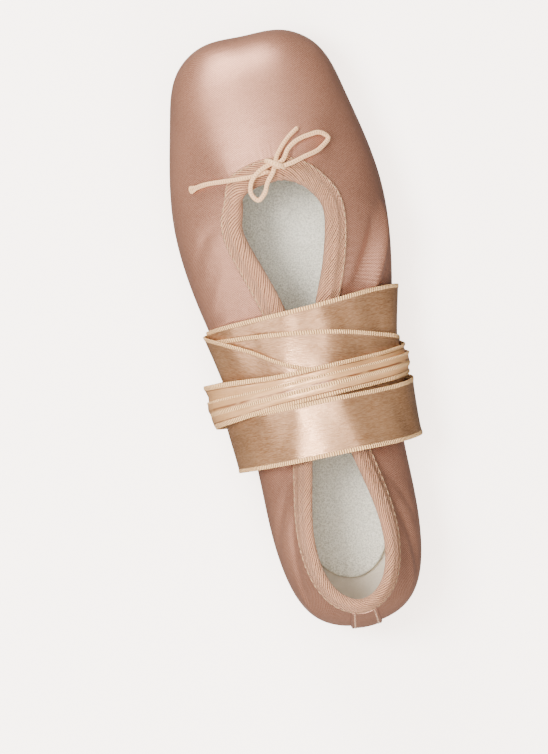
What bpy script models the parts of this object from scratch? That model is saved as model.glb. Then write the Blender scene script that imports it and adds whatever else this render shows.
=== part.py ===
"""A ballet pointe shoe standing on its sole, toe towards -Y, wound round the waist with its two ribbons.

The tables are in millimetres and every mesh is made in metres. "Place" is the distance back from the
toe. The shoe is its own mirror image in X, apart from the drawstring's bow and the ribbons.
"""

import math
from collections import namedtuple

import bmesh
import bpy
import numpy as np

MM = 0.001
GAP = 0.3  # the space that two touching pieces keep
LOOSE_GAP = 0.45  # the same between soft pieces that bend over one another
RIBS_ROUND = 72  # how many ribs the upper and what lies on it are made from

SHOE_LENGTH = 232.0
SOLE_THICKNESS = 2.6
SOLE_BEVEL = 0.7
BOX_WALL = 2.4  # the stiffened toe box
QUARTER_WALL = 1.6  # satin on canvas
BOX_END = (78.0, 104.0)  # the box thins into the quarters between these places
INSOLE_THICKNESS = 3.4
INSOLE_MARGIN = 4.0  # how far the insole lies on the upper's turned-in edge
INSOLE_CLEARANCE = 0.9  # over that edge, which curves up under the insole's rim
TAPE_THICKNESS = 0.7
STRIP_THICKNESS = 0.6
STRIP_WIDTHS = (10.0, 14.0)  # at the sole and under the binding
TAPE_OUTER_LEG = 7.4
TAPE_INNER_LEG = 6.0
TAPE_CROWN = 0.25  # the fold's middle stands this much higher
CORD_THICKNESS = 1.8
RIBBON_WIDTH = 22.0
RIBBON_THICKNESS = 0.4

ARCH_HEIGHT = 8.0
ARCH_SPAN = (84.0, 198.0)  # between the two flat spots that the shoe stands on
TOE_SPRING = 1.3
TOE_SPRING_END = 56.0

# One rib of the upper runs from the sole opening, out to the widest line of the shoe and up to the
# collar. Each row is a rib, from the toe's middle round one side to the heel's middle.
#   side_*: the widest line.  sole_*: the sole opening.  top_*: the collar's edge.
#   under, tuck: handles of the lower curve.  rise, brow, fall: handles of the upper curve.
Rib = namedtuple(
    "Rib",
    "side_x side_s side_z sole_x sole_s top_x top_s top_z under tuck rise brow fall",
)
RIBS = [
    Rib(0.0, 0.0, 21.0, 0.0, 36.0, 0.0, 56.6, 55.6, 28, 15, 24, 34, 9),
    Rib(15.5, 0.7, 21.0, 8.5, 36.0, 5.6, 57.2, 55.4, 27, 15, 23, 33, 9),
    Rib(27.2, 8.4, 21.0, 13.6, 38.6, 11.2, 60.2, 54.8, 19, 13, 21, 27, 8),
    Rib(34.2, 27.0, 21.5, 16.6, 50.0, 15.2, 66.5, 53.8, 12, 11, 17, 17, 6),
    Rib(41.0, 66.0, 22.0, 22.0, 74.0, 16.9, 78.0, 52.0, 10, 11, 15, 12, 5),
    Rib(38.2, 99.0, 21.5, 17.0, 99.0, 10.4, 97.5, 49.8, 12, 11, 13, 12, 6),
    Rib(31.2, 134.0, 22.5, 10.2, 132.0, 6.0, 123.0, 47.5, 12, 10, 11, 11, 7),
    Rib(28.8, 168.0, 22.5, 10.6, 166.0, 8.8, 160.0, 48.5, 11, 10, 13, 8, 8),
    Rib(27.6, 203.0, 23.0, 12.4, 194.0, 15.6, 196.0, 52.0, 9, 10, 14, 4, 11),
    Rib(17.6, 226.5, 23.5, 7.6, 206.5, 10.6, 217.5, 55.5, 9, 11, 15, 2, 11),
    Rib(0.0, 232.0, 24.0, 0.0, 210.0, 0.0, 223.6, 57.0, 10, 12, 16, 2, 11),
]
# What changes its sign on the shoe's other side.
MIRRORED = ("side_x", "sole_x", "top_x")

# The outsole's half width at places behind its square toe end. Its heel end is a half circle.
SoleRow = namedtuple("SoleRow", "place half_width")
SOLE_ENDS = (31.0, 215.0)
SOLE_STEP = 4.6
HEEL_TURN = 12  # degrees between sections round the heel
SOLE_ROWS = [
    SoleRow(SOLE_ENDS[0], 16.5),
    SoleRow(50.0, 21.8),
    SoleRow(67.0, 26.4),
    SoleRow(77.0, 27.2),
    SoleRow(90.0, 24.6),
    SoleRow(106.0, 19.2),
    SoleRow(128.0, 15.4),
    SoleRow(150.0, 14.6),
    SoleRow(176.0, 16.6),
    SoleRow(197.0, 18.0),
]


def hermite(x, knots, values):
    """A smooth curve through a short table."""
    knots, values = np.array(knots, float), np.array(values, float)
    slopes = np.gradient(values, knots)
    i = np.clip(np.searchsorted(knots, x) - 1, 0, len(knots) - 2)
    width = knots[i + 1] - knots[i]
    t = (x - knots[i]) / width
    return (
        values[i] * (1 + 2 * t) * (1 - t) ** 2
        + values[i + 1] * t * t * (3 - 2 * t)
        + slopes[i] * width * t * (1 - t) ** 2
        - slopes[i + 1] * width * t * t * (1 - t)
    )


def smoothstep(x, low, high):
    t = np.clip((x - low) / (high - low), 0, 1)
    return t * t * (3 - 2 * t)


def sole_lift(place):
    """Height of the outsole's underside: toe spring, a flat ball, the arch and a flat heel."""
    ahead = np.clip(TOE_SPRING_END - place, 0, None) / (TOE_SPRING_END - SOLE_ENDS[0])
    spring = TOE_SPRING * ahead**2
    along = np.clip((place - ARCH_SPAN[0]) / (ARCH_SPAN[1] - ARCH_SPAN[0]), 0, 1)
    return spring + ARCH_HEIGHT * (1 - np.cos(2 * np.pi * along)) / 2


def above_sole(place):
    """Where the upper's turned-in edge lies: just above the outsole, level past its two ends."""
    return sole_lift(np.clip(place, *SOLE_ENDS)) + SOLE_THICKNESS + LOOSE_GAP


def to_frame(x, place, z):
    """Millimetres, with place counted from the toe, to points in metres round the shoe's middle."""
    return np.stack([x, place - SHOE_LENGTH / 2, z], axis=-1) * MM


# ---------------------------------------------------------------- the upper's surface


def closed_rows():
    """The ribs once round the shoe, with the knots of a closed curve through them."""
    half = np.array(RIBS, float)
    mirror = half[-2:0:-1].copy()
    for name in MIRRORED:
        mirror[:, Rib._fields.index(name)] *= -1
    rows = np.concatenate([half, mirror])
    steps = np.linalg.norm(np.diff(np.vstack([rows, rows[:1]])[:, :2], axis=0), axis=1)
    knots = np.concatenate([[0], np.cumsum(steps)]) / steps.sum()
    return knots, rows


def closed_bends(knots, rows):
    """Second derivatives of the periodic cubic spline through the rows."""
    n, h = len(rows), np.diff(knots)
    matrix, right = np.zeros((n, n)), np.zeros_like(rows)
    for i in range(n):
        before, after = h[i - 1], h[i]
        matrix[i, i - 1] += before
        matrix[i, i] += 2 * (before + after)
        matrix[i, (i + 1) % n] += after
        right[i] = 6 * ((rows[(i + 1) % n] - rows[i]) / after - (rows[i] - rows[i - 1]) / before)
    return np.linalg.solve(matrix, right)


KNOTS, ROWS = closed_rows()
BENDS = closed_bends(KNOTS, ROWS)


def rib_at(u):
    """The rib values at u, from 0 at the toe's middle through 0.5 at the heel's."""
    u = np.asarray(u, float) % 1
    i = np.clip(np.searchsorted(KNOTS, u, side="right") - 1, 0, len(ROWS) - 1)
    j, h = (i + 1) % len(ROWS), (KNOTS[i + 1] - KNOTS[i])[..., None]
    b = (u - KNOTS[i])[..., None] / h
    a = 1 - b
    values = a * ROWS[i] + b * ROWS[j]
    values += ((a**3 - a) * BENDS[i] + (b**3 - b) * BENDS[j]) * h * h / 6
    return Rib(*np.moveaxis(values, -1, 0))


def bezier(a, b, c, d, t):
    s = 1 - t
    return s**3 * a + 3 * s * s * t * b + 3 * s * t * t * c + t**3 * d


def on_upper(u, v):
    """A point on the upper's outside in millimetres. v is 0 at the sole opening, 0.5 at the widest
    line and 1 at the collar's edge."""
    u, v = np.broadcast_arrays(np.asarray(u, float), np.asarray(v, float))
    rib = rib_at(u)
    side = np.stack([rib.side_x, rib.side_s, rib.side_z], -1)
    sole = np.stack([rib.sole_x, rib.sole_s, above_sole(rib.sole_s)], -1)
    top = np.stack([rib.top_x, rib.top_s, rib.top_z], -1)
    up = np.array([0.0, 0.0, 1.0])

    def outward(start):
        way = (side - start) * [1, 1, 0]
        return way / np.linalg.norm(way, axis=-1, keepdims=True)

    low = np.clip(2 * v, 0, 1)[..., None]
    high = np.clip(2 * v - 1, 0, 1)[..., None]
    lower = bezier(
        sole, sole + outward(sole) * rib.under[..., None], side - up * rib.tuck[..., None], side, low
    )
    lower[..., 2] = np.maximum(lower[..., 2], above_sole(lower[..., 1]))
    brow = top + outward(top) * rib.brow[..., None] - up * rib.fall[..., None]
    upper = bezier(side, side + up * rib.rise[..., None], brow, top, high)
    return np.where(v[..., None] < 0.5, lower, upper)


def normal_of(u, v):
    """The upper's outward unit normal."""
    du, dv = 1e-4, 1e-3
    v = np.clip(v, dv, 1 - dv)
    along = on_upper(u + du, v) - on_upper(u - du, v)
    across = on_upper(u, v + dv) - on_upper(u, v - dv)
    normal = np.cross(along, across)
    return normal / np.linalg.norm(normal, axis=-1, keepdims=True)


def upper_point(u, v, out=0.0):
    """A point that stands out millimetres off the upper's outside."""
    u, v = np.broadcast_arrays(np.asarray(u, float), np.asarray(v, float))
    return on_upper(u, v) + normal_of(u, v) * np.asarray(out)[..., None]


def wall_at(u, v):
    """The upper's thickness."""
    place = on_upper(u, v)[..., 1]
    return BOX_WALL + (QUARTER_WALL - BOX_WALL) * smoothstep(place, *BOX_END)


def v_below_collar(u, distance):
    """The v on one rib that lies this many millimetres below the collar's edge."""
    v = np.linspace(1, 0.5, 60)
    points = on_upper(np.full_like(v, u), v)
    run = np.concatenate([[0], np.cumsum(np.linalg.norm(np.diff(points, axis=0), axis=1))])
    return np.interp(distance, run, v)


# ---------------------------------------------------------------- making meshes


def finish(name, verts, faces, colour, roughness):
    """A mesh object with outward faces and its own material."""
    mesh = bpy.data.meshes.new(name)
    mesh.from_pydata([tuple(p) for p in verts], [], faces)
    work = bmesh.new()
    work.from_mesh(mesh)
    bmesh.ops.recalc_face_normals(work, faces=work.faces)
    work.to_mesh(mesh)
    work.free()
    mesh.shade_smooth()
    mesh.set_sharp_from_angle(angle=math.radians(50))
    obj = bpy.data.objects.new(name, mesh)
    bpy.context.scene.collection.objects.link(obj)
    paint(obj, colour, roughness)
    return obj


def paint(obj, colour, roughness):
    material = bpy.data.materials.new(obj.name)
    material.use_nodes = True
    shader = material.node_tree.nodes["Principled BSDF"]
    shader.inputs["Base Color"].default_value = (*colour, 1)
    shader.inputs["Roughness"].default_value = roughness
    obj.data.materials.append(material)


def skin(name, sections, colour, roughness, closed=False):
    """A solid through sections, each a ring of as many points; closed joins the last to the first."""
    count, ring = len(sections), len(sections[0])
    faces = []
    for i in range(count if closed else count - 1):
        j = (i + 1) % count
        for k in range(ring):
            m = (k + 1) % ring
            faces.append((i * ring + k, i * ring + m, j * ring + m, j * ring + k))
    if not closed:
        faces.append(tuple(range(ring)))
        faces.append(tuple((count - 1) * ring + k for k in range(ring)))
    return finish(name, np.concatenate(sections), faces, colour, roughness)


SATIN = (0.55, 0.33, 0.27)
TAPE = (0.68, 0.45, 0.34)
LEATHER = (0.63, 0.42, 0.27)
FELT = (0.60, 0.63, 0.58)
RIBBON = (0.62, 0.42, 0.29)
CORD = (0.74, 0.53, 0.38)

# ---------------------------------------------------------------- sole and insole


def plate(name, stations, underside, thickness, bevel, colour):
    """A flat piece that follows the sole's lift, through (place, half width) stations."""
    sections = []
    for place, half in stations:
        low = underside(place)
        high = low + thickness
        rim = min(bevel, half / 2)
        ring = [
            (-half, high),
            (-half, low + bevel),
            (-half + rim, low),
            (half - rim, low),
            (half, low + bevel),
            (half, high),
        ]
        sections.append(np.array([to_frame(x, place, z) for x, z in ring]))
    return skin(name, sections, colour, 0.6)


def outsole_stations():
    """Every few millimetres down the sides, then round the heel's half circle."""
    knots = [row.place for row in SOLE_ROWS]
    halves = [row.half_width for row in SOLE_ROWS]
    heel = SOLE_ROWS[-1]
    places = np.arange(SOLE_ENDS[0], heel.place, SOLE_STEP)
    sides = list(zip(places, hermite(places, knots, halves)))
    turns = np.radians(np.arange(0, 90, HEEL_TURN))
    ends = [
        (heel.place + heel.half_width * math.sin(a), heel.half_width * math.cos(a)) for a in turns
    ]
    return sides + ends


def insole_stations():
    """The sole opening's outline, widened onto the upper's turned-in edge."""
    u = np.linspace(0.012, 0.488, 34)
    rib = rib_at(u)
    way = np.stack([rib.side_x - rib.sole_x, rib.side_s - rib.sole_s], -1)
    way /= np.linalg.norm(way, axis=-1, keepdims=True)
    half = rib.sole_x + INSOLE_MARGIN * way[:, 0]
    place = rib.sole_s + INSOLE_MARGIN * way[:, 1]
    order = np.argsort(place)
    return list(zip(place[order], half[order]))


def insole_underside(place):
    wall = BOX_WALL + (QUARTER_WALL - BOX_WALL) * smoothstep(place, *BOX_END)
    return above_sole(place) + wall + INSOLE_CLEARANCE


# ---------------------------------------------------------------- upper, binding and heel strip


def build_upper():
    """One hollow wall, open at the collar and under the foot where the outsole closes it."""
    height = np.concatenate([np.linspace(0, 0.5, 7), np.linspace(0.5, 1, 9)[1:]])
    sections = []
    for u in np.arange(RIBS_ROUND) / RIBS_ROUND:
        outside = upper_point(u, height)
        inside = upper_point(u, height, -wall_at(u, height))[::-1]
        sections.append(to_frame(*np.concatenate([outside, inside]).T))
    return skin("upper", sections, SATIN, 0.45, closed=True)


def binding_section(u):
    """The tape that is folded over the collar's edge, as a hooked section in one rib's plane."""
    wall = wall_at(u, 1.0)
    edge, normal = upper_point(u, 1.0), normal_of(u, 1.0)
    along = upper_point(u, 1.0) - upper_point(u, 0.99)
    along /= np.linalg.norm(along)
    near, far = LOOSE_GAP, LOOSE_GAP + TAPE_THICKNESS

    def beyond(out, past):
        return edge + normal * out + along * past

    def on_wall(distance, out):
        return upper_point(u, v_below_collar(u, distance), out)

    outer_leg, inner_leg = (TAPE_OUTER_LEG, TAPE_OUTER_LEG / 2), (TAPE_INNER_LEG / 2, TAPE_INNER_LEG)
    outer_skin = [on_wall(d, far) for d in outer_leg]
    outer_skin += [beyond(far, 0), beyond(-wall / 2, far + TAPE_CROWN), beyond(-wall - far, 0)]
    outer_skin += [on_wall(d, -wall - far) for d in inner_leg]
    inner_skin = [on_wall(d, -wall - near) for d in inner_leg[::-1]]
    inner_skin += [beyond(-wall - near, near), beyond(near, near)]
    inner_skin += [on_wall(d, near) for d in outer_leg[::-1]]
    return to_frame(*np.array(outer_skin + inner_skin).T)


def build_heel_strip():
    """The satin strip that covers the back seam, from the binding down to the outsole."""
    rows = 12
    heel_top = v_below_collar(0.5, TAPE_OUTER_LEG + 2 * GAP)
    sole_end = SOLE_ROWS[-1].place + SOLE_ROWS[-1].half_width + 2 * GAP
    low_v = next(v for v in np.linspace(0, 0.5, 200) if on_upper(0.5, v)[1] > sole_end)
    per_mm = 0.01 / np.linalg.norm(on_upper(0.505, 0.5) - on_upper(0.495, 0.5))
    sections = []
    for t in np.linspace(0, 1, rows):
        half = (STRIP_WIDTHS[0] + (STRIP_WIDTHS[1] - STRIP_WIDTHS[0]) * t) / 2 * per_mm
        u = 0.5 + np.linspace(-half, half, 4)
        v = np.full(4, low_v + (heel_top - low_v) * t)
        outside = upper_point(u, v, GAP + STRIP_THICKNESS)
        inside = upper_point(u, v, GAP)[::-1]
        sections.append(to_frame(*np.concatenate([outside, inside]).T))
    return skin("heel_strip", sections, SATIN, 0.45)


# ---------------------------------------------------------------- drawstring bow

# Routes of the thin cord in millimetres: x, place, height. The bow lies on the front of the collar.
KNOT = (-2.0, 52.2, 57.5)
KNOT_SIZE = (2.8, 2.2, 1.5)
BOW_ROUTES = {
    "drawstring_end_long": [
        (1.5, 54.6, 57.9),
        (7.0, 55.2, 57.6),
        (12.0, 55.0, 56.6),
        (18.0, 54.6, 53.4),
        (25.5, 54.1, 48.0),
        (32.2, 54.9, 41.8),
    ],
    "drawstring_end_short": [
        (-3.2, 49.6, 56.7),
        (-5.4, 46.7, 55.1),
        (-9.0, 43.2, 53.3),
        (-13.6, 40.0, 51.3),
    ],
    "drawstring_loop_side": [
        (-5.2, 51.3, 57.7),
        (-8.0, 47.6, 56.6),
        (-12.0, 45.0, 55.1),
        (-17.0, 43.8, 53.1),
        (-21.6, 43.8, 50.7),
        (-24.0, 46.0, 49.0),
        (-20.6, 49.4, 51.7),
        (-13.0, 51.8, 56.1),
        (-5.4, 53.5, 58.1),
    ],
    "drawstring_loop_back": [
        (1.6, 52.5, 58.9),
        (5.2, 54.2, 59.9),
        (8.4, 57.6, 59.1),
        (9.2, 61.4, 58.2),
        (7.0, 64.4, 57.8),
        (4.2, 62.4, 58.4),
        (2.2, 58.6, 59.2),
        (-0.6, 55.1, 59.1),
    ],
}


def build_knot():
    """The bow's knot, as a flattened ball."""
    work = bmesh.new()
    bmesh.ops.create_uvsphere(work, u_segments=12, v_segments=8, radius=1.0)
    centre = to_frame(*[np.array(value) for value in KNOT])
    for vert in work.verts:
        vert.co = [c + p * size * MM for c, p, size in zip(centre, vert.co, KNOT_SIZE)]
    mesh = bpy.data.meshes.new("drawstring_knot")
    work.to_mesh(mesh)
    work.free()
    mesh.shade_smooth()
    obj = bpy.data.objects.new("drawstring_knot", mesh)
    bpy.context.scene.collection.objects.link(obj)
    paint(obj, CORD, 0.8)


def build_cord(name, route):
    """A round cord on a smooth curve through its route's points."""
    route = np.array(route)
    run = np.concatenate([[0], np.cumsum(np.linalg.norm(np.diff(route, axis=0), axis=1))])
    steps = np.linspace(0, run[-1], max(6, round(run[-1] / (1.7 * CORD_THICKNESS))))
    fine = np.stack([hermite(steps, run, route[:, k]) for k in range(3)], axis=-1)
    data = bpy.data.curves.new(name, "CURVE")
    data.dimensions = "3D"
    data.bevel_depth = CORD_THICKNESS / 2 * MM
    data.bevel_resolution = 2
    data.use_fill_caps = True
    spline = data.splines.new("POLY")
    spline.points.add(len(fine) - 1)
    for point, place in zip(spline.points, to_frame(*fine.T)):
        point.co = (*place, 1)
    obj = bpy.data.objects.new(name, data)
    bpy.context.scene.collection.objects.link(obj)
    paint(obj, CORD, 0.8)


# ---------------------------------------------------------------- ribbons

# Each ribbon comes up out of the collar's gap and is wound round the waist. A turn's angle is seen
# from the toe: 0 at the +X side, 90 on top, 180 at the -X side, 270 underneath. Gather is 0 where
# the ribbon lies flat and 1 where it is bunched lengthwise into a narrow strand. Slack is how far
# it stands off in a loose bight.
Turn = namedtuple("Turn", "angle place gather slack", defaults=(0, 0))
INNER_TURNS = [
    Turn(90, 143),
    Turn(180, 136),
    Turn(270, 125.5),
    Turn(360, 120),
    Turn(450, 118.5),
    Turn(540, 117),
    Turn(630, 125.5),
    Turn(720, 124),
    Turn(810, 127.5),
    Turn(900, 137),
    Turn(990, 149.5),
    Turn(1080, 152),
    Turn(1145, 152),
]
OUTER_TURNS = [
    Turn(90, 153),
    Turn(0, 152),
    Turn(-90, 149.5),
    Turn(-180, 149),
    Turn(-270, 142),
    Turn(-360, 122),
    Turn(-450, 125.5),
    Turn(-540, 135, 1),
    Turn(-630, 137, 0.9),
    Turn(-720, 138, 0.7, 6),
    Turn(-810, 141),
    Turn(-900, 153.5),
    Turn(-990, 154.5),
    Turn(-1080, 154),
    Turn(-1112, 154),
]
GATHERED_WIDTH = 12.0
GATHERED_THICKNESS = 2.2
TURN_STEP = 7.5  # degrees between a ribbon's sections
WRAP_MIDDLE = 24.0  # height of the line that the angles turn about
WRAP_CLEARANCE = 0.8
WRAP_PLACES = np.arange(98.0, 184.0, 4.0)
WRAP_NORMALS = np.radians(np.arange(0, 360, 3.0))
CLIMB_REACH = 30  # degrees over which a ribbon climbs onto what it crosses
TAIL_DEPTHS = (11.0, 6.0, 1.4)  # sections of the tail, below the ribbon's first turn
TAIL_SIDE = 1.3  # the tails hang this far each side of the middle
PRESSED_BELOW = 4.0  # under the arch, turns below this height are pressed flat against the ground
LOWEST_TURN = -0.5  # where the lowest one would lie if the ground weren't there
GROUND_CLEARANCE = 0.15


def girth_table():
    """At each place, how far the shoe reaches from its middle line along each normal: the convex
    outline that a taut ribbon follows."""
    u, v = np.meshgrid(np.linspace(0.12, 0.46, 60), np.linspace(0, 1, 40), indexing="ij")
    tape = (LOOSE_GAP + TAPE_THICKNESS) * (v > 0.78)
    points = upper_point(u, v, tape)
    soles = hermite(WRAP_PLACES, [r.place for r in SOLE_ROWS], [r.half_width for r in SOLE_ROWS])
    table = []
    for place, half in zip(WRAP_PLACES, soles):
        x = [np.interp(place, points[:, k, 1], points[:, k, 0]) for k in range(v.shape[1])]
        z = [np.interp(place, points[:, k, 1], points[:, k, 2]) for k in range(v.shape[1])]
        outline = np.array([*zip(x, z), (half, sole_lift(place))])
        outline = np.concatenate([outline, outline * [-1, 1]]) - [0, WRAP_MIDDLE]
        ways = np.stack([np.cos(WRAP_NORMALS), np.sin(WRAP_NORMALS)])
        table.append((outline @ ways).max(axis=0))
    return np.array(table)


GIRTH = girth_table()


def wrap_radius(place, angle, out):
    """Distance from the middle line to a ribbon that stands out millimetres off the shoe."""
    reach = np.array([np.interp(place, WRAP_PLACES, GIRTH[:, k]) for k in range(len(WRAP_NORMALS))])
    facing = np.cos(math.radians(angle) - WRAP_NORMALS)
    seen = facing > 0.05
    return ((reach[seen] + out) / facing[seen]).min()


def stations_of(turns):
    """(angle, place, gather, slack) every few degrees along a ribbon."""
    knots = np.arange(len(turns), dtype=float)
    angles = np.array([t.angle for t in turns], float)
    count = int(abs(angles[-1] - angles[0]) / TURN_STEP) + 1
    wanted = np.linspace(angles[0], angles[-1], count)
    order = np.sign(angles[-1] - angles[0])
    at = np.interp(wanted * order, angles * order, knots)
    place = hermite(at, knots, [t.place for t in turns])
    gather = smoothstep(np.interp(at, knots, [t.gather for t in turns]), 0, 1)
    slack = np.interp(at, knots, [t.slack for t in turns])
    slack = smoothstep(slack, 0, max(slack.max(), 1)) * slack.max()
    return np.stack([wanted, place, gather, slack], axis=-1)


def width_of(gather):
    return RIBBON_WIDTH + (GATHERED_WIDTH - RIBBON_WIDTH) * gather


def thickness_of(gather):
    return RIBBON_THICKNESS + (GATHERED_THICKNESS - RIBBON_THICKNESS) * gather


def lay(sections):
    """How far each station stands off the shoe, when the sections are wound in this order and each
    turn lies on every earlier turn that it crosses."""
    laid, lifts = [], []
    for stations in sections:
        raw = []
        for i, (angle, place, gather, _) in enumerate(stations):
            under = [WRAP_CLEARANCE]
            own = [(a, p, g, r) for (a, p, g, _), r in zip(stations[:i], raw) if abs(a - angle) > 180]
            for a, p, g, lift in laid + own:
                turned = abs((a - angle + 180) % 360 - 180)
                if turned < CLIMB_REACH and abs(p - place) < (width_of(g) + width_of(gather)) / 2 + 1:
                    under.append(lift + thickness_of(g) + LOOSE_GAP)
            raw.append(max(under))
        laid += [(*station[:3], lift) for station, lift in zip(stations, raw)]
        lifts.append(raw)
    return lifts


def eased(lifts):
    """Steps become slopes: the highest lift nearby, then an even mean."""
    near = 2
    padded = np.pad(lifts, 2 * near, mode="edge")
    highest = np.array([padded[i : i + 2 * near + 1].max() for i in range(len(padded) - 2 * near)])
    return np.array([highest[i : i + 2 * near + 1].mean() for i in range(len(lifts))])


def pressed(height):
    """Turns under the arch move up together, so that none goes below the outsole."""
    share = (height - LOWEST_TURN) / (PRESSED_BELOW - LOWEST_TURN)
    return height if height > PRESSED_BELOW else GROUND_CLEARANCE + share * (PRESSED_BELOW - GROUND_CLEARANCE)


def build_ribbon(name, stations, lifts, side):
    """A flat strip along its stations, with a tail that goes down into the collar's gap."""
    rails = []
    for across in (-0.5, 0, 0.5):
        rail = []
        for (angle, place, gather, slack), lift in zip(stations, lifts):
            at = place + across * width_of(gather)
            middle = lift + slack + thickness_of(gather) / 2
            radius = wrap_radius(at, angle, middle)
            turn = math.radians(angle)
            rail.append((radius * math.cos(turn), at, pressed(WRAP_MIDDLE + radius * math.sin(turn))))
        start = rail[0]
        tail = [(side * TAIL_SIDE, start[1], start[2] - depth) for depth in TAIL_DEPTHS]
        rails.append(np.array(tail + rail[1:]))
    gathers = np.concatenate([[stations[0][2]] * len(TAIL_DEPTHS), stations[1:, 2]])
    half = np.array([thickness_of(g) / 2 for g in gathers])[:, None]
    outer, inner = [], []
    for rail in rails:
        run = np.gradient(rail, axis=0)
        off = np.stack([run[:, 2], np.zeros(len(run)), -run[:, 0]], axis=-1)
        off /= np.linalg.norm(off, axis=1, keepdims=True)
        outer.append(rail + off * half)
        inner.append(rail - off * half)
    sections = [to_frame(*ring.T) for ring in np.stack(outer + inner[::-1], axis=1)]
    return skin(name, sections, RIBBON, 0.35)


# ---------------------------------------------------------------- the shoe


def main():
    for obj in list(bpy.data.objects):
        bpy.data.objects.remove(obj)
    plate("outsole", outsole_stations(), sole_lift, SOLE_THICKNESS, SOLE_BEVEL, LEATHER)
    plate("insole", insole_stations(), insole_underside, INSOLE_THICKNESS, SOLE_BEVEL, FELT)
    build_upper()
    ribs = np.arange(RIBS_ROUND) / RIBS_ROUND
    skin("collar_binding", [binding_section(u) for u in ribs], TAPE, 0.8, closed=True)
    build_heel_strip()
    build_knot()
    for name, route in BOW_ROUTES.items():
        build_cord(name, route)
    inner, outer = stations_of(INNER_TURNS), stations_of(OUTER_TURNS)
    inner_lifts, outer_lifts = lay([inner, outer])
    build_ribbon("ribbon_inner", inner, eased(inner_lifts), side=-1)
    build_ribbon("ribbon_outer", outer, eased(outer_lifts), side=1)


main()
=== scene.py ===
import math
from collections import namedtuple

import bmesh
import bpy
import numpy as np
from mathutils import Matrix, Vector


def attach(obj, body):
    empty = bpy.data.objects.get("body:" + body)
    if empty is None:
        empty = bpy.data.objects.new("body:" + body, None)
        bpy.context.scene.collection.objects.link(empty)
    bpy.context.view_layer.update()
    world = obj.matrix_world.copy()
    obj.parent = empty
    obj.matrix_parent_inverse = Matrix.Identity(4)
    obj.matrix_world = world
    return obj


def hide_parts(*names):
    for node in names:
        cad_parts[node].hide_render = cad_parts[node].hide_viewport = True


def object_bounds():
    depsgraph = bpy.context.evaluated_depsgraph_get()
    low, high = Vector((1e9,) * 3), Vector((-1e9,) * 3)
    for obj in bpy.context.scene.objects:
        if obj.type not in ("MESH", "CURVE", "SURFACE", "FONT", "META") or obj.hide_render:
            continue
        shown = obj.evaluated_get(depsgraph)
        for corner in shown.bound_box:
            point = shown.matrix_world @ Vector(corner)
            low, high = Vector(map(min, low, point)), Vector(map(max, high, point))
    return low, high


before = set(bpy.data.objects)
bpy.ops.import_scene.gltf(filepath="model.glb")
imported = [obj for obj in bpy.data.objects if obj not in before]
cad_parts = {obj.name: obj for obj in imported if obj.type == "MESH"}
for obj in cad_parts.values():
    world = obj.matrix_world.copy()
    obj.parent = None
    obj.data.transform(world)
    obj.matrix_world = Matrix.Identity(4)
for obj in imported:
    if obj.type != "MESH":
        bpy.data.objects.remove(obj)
bpy.context.view_layer.update()
cad_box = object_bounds()
bpy.ops.object.select_all(action="DESELECT")

# ---------------------------------------------------------------- outsole
# One sole of tan leather, square at the toe and round at the heel, with a burnished edge. It is sewn
# on by hand through a shallow channel, in cream thread, and keeps the arch of the last.

MM = 0.001
UV_UNIT = 100  # millimetres of cloth for each unit of its UV map
SHOE_LENGTH = 232.0
SOLE_THICKNESS = 2.6
SOLE_RIM = 0.7  # how far in its rims are rounded
SOLE_ENDS = (31.0, 215.0)
ARCH_HEIGHT = 8.0
ARCH_SPAN = (84.0, 198.0)
TOE_SPRING = 1.3
TOE_SPRING_END = 56.0

SoleRow = namedtuple("SoleRow", "place half_width")
SOLE_ROWS = [
    SoleRow(SOLE_ENDS[0], 16.5),
    SoleRow(50.0, 21.8),
    SoleRow(67.0, 26.4),
    SoleRow(77.0, 27.2),
    SoleRow(90.0, 24.6),
    SoleRow(106.0, 19.2),
    SoleRow(128.0, 15.4),
    SoleRow(150.0, 14.6),
    SoleRow(176.0, 16.6),
    SoleRow(197.0, 18.0),
]
CHANNEL_INSET = 4.6
CHANNEL_WIDTH = 0.7
CHANNEL_DEPTH = 0.18
CHANNEL_SLOPE = 0.2  # how wide each of its two sloping walls is


def hermite(x, knots, values):
    """A smooth curve through a short table."""
    knots, values = np.array(knots, float), np.array(values, float)
    slopes = np.gradient(values, knots)
    i = np.clip(np.searchsorted(knots, x) - 1, 0, len(knots) - 2)
    width = knots[i + 1] - knots[i]
    t = (x - knots[i]) / width
    return (
        values[i] * (1 + 2 * t) * (1 - t) ** 2
        + values[i + 1] * t * t * (3 - 2 * t)
        + slopes[i] * width * t * (1 - t) ** 2
        - slopes[i + 1] * width * t * t * (1 - t)
    )


def smoothstep(x, low, high):
    """0 below low, 1 above high, smooth between them."""
    t = np.clip((x - low) / (high - low), 0, 1)
    return t * t * (3 - 2 * t)


def sole_lift(place):
    """Height of the outsole's underside: toe spring, a flat ball, the arch and a flat heel."""
    ahead = np.clip(TOE_SPRING_END - place, 0, None) / (TOE_SPRING_END - SOLE_ENDS[0])
    along = np.clip((place - ARCH_SPAN[0]) / (ARCH_SPAN[1] - ARCH_SPAN[0]), 0, 1)
    return TOE_SPRING * ahead**2 + ARCH_HEIGHT * (1 - np.cos(2 * np.pi * along)) / 2


def to_frame(x, place, z):
    """Millimetres, with place counted from the toe, to points in metres round the shoe's middle."""
    return np.stack([x, place - SHOE_LENGTH / 2, z], axis=-1) * MM


def run_along(line):
    """How far along it each point of a line is."""
    return np.concatenate([[0], np.cumsum(np.linalg.norm(np.diff(line, axis=0), axis=1))])


def closed(line):
    """A ring's points, with the first again at the end."""
    return np.concatenate([line, line[:1]])


def respaced(line, count):
    """The line again, as evenly spaced points."""
    run = run_along(line)
    at = np.linspace(0, run[-1], count)
    return np.stack([np.interp(at, run, line[:, k]) for k in range(line.shape[1])], axis=1)


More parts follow.
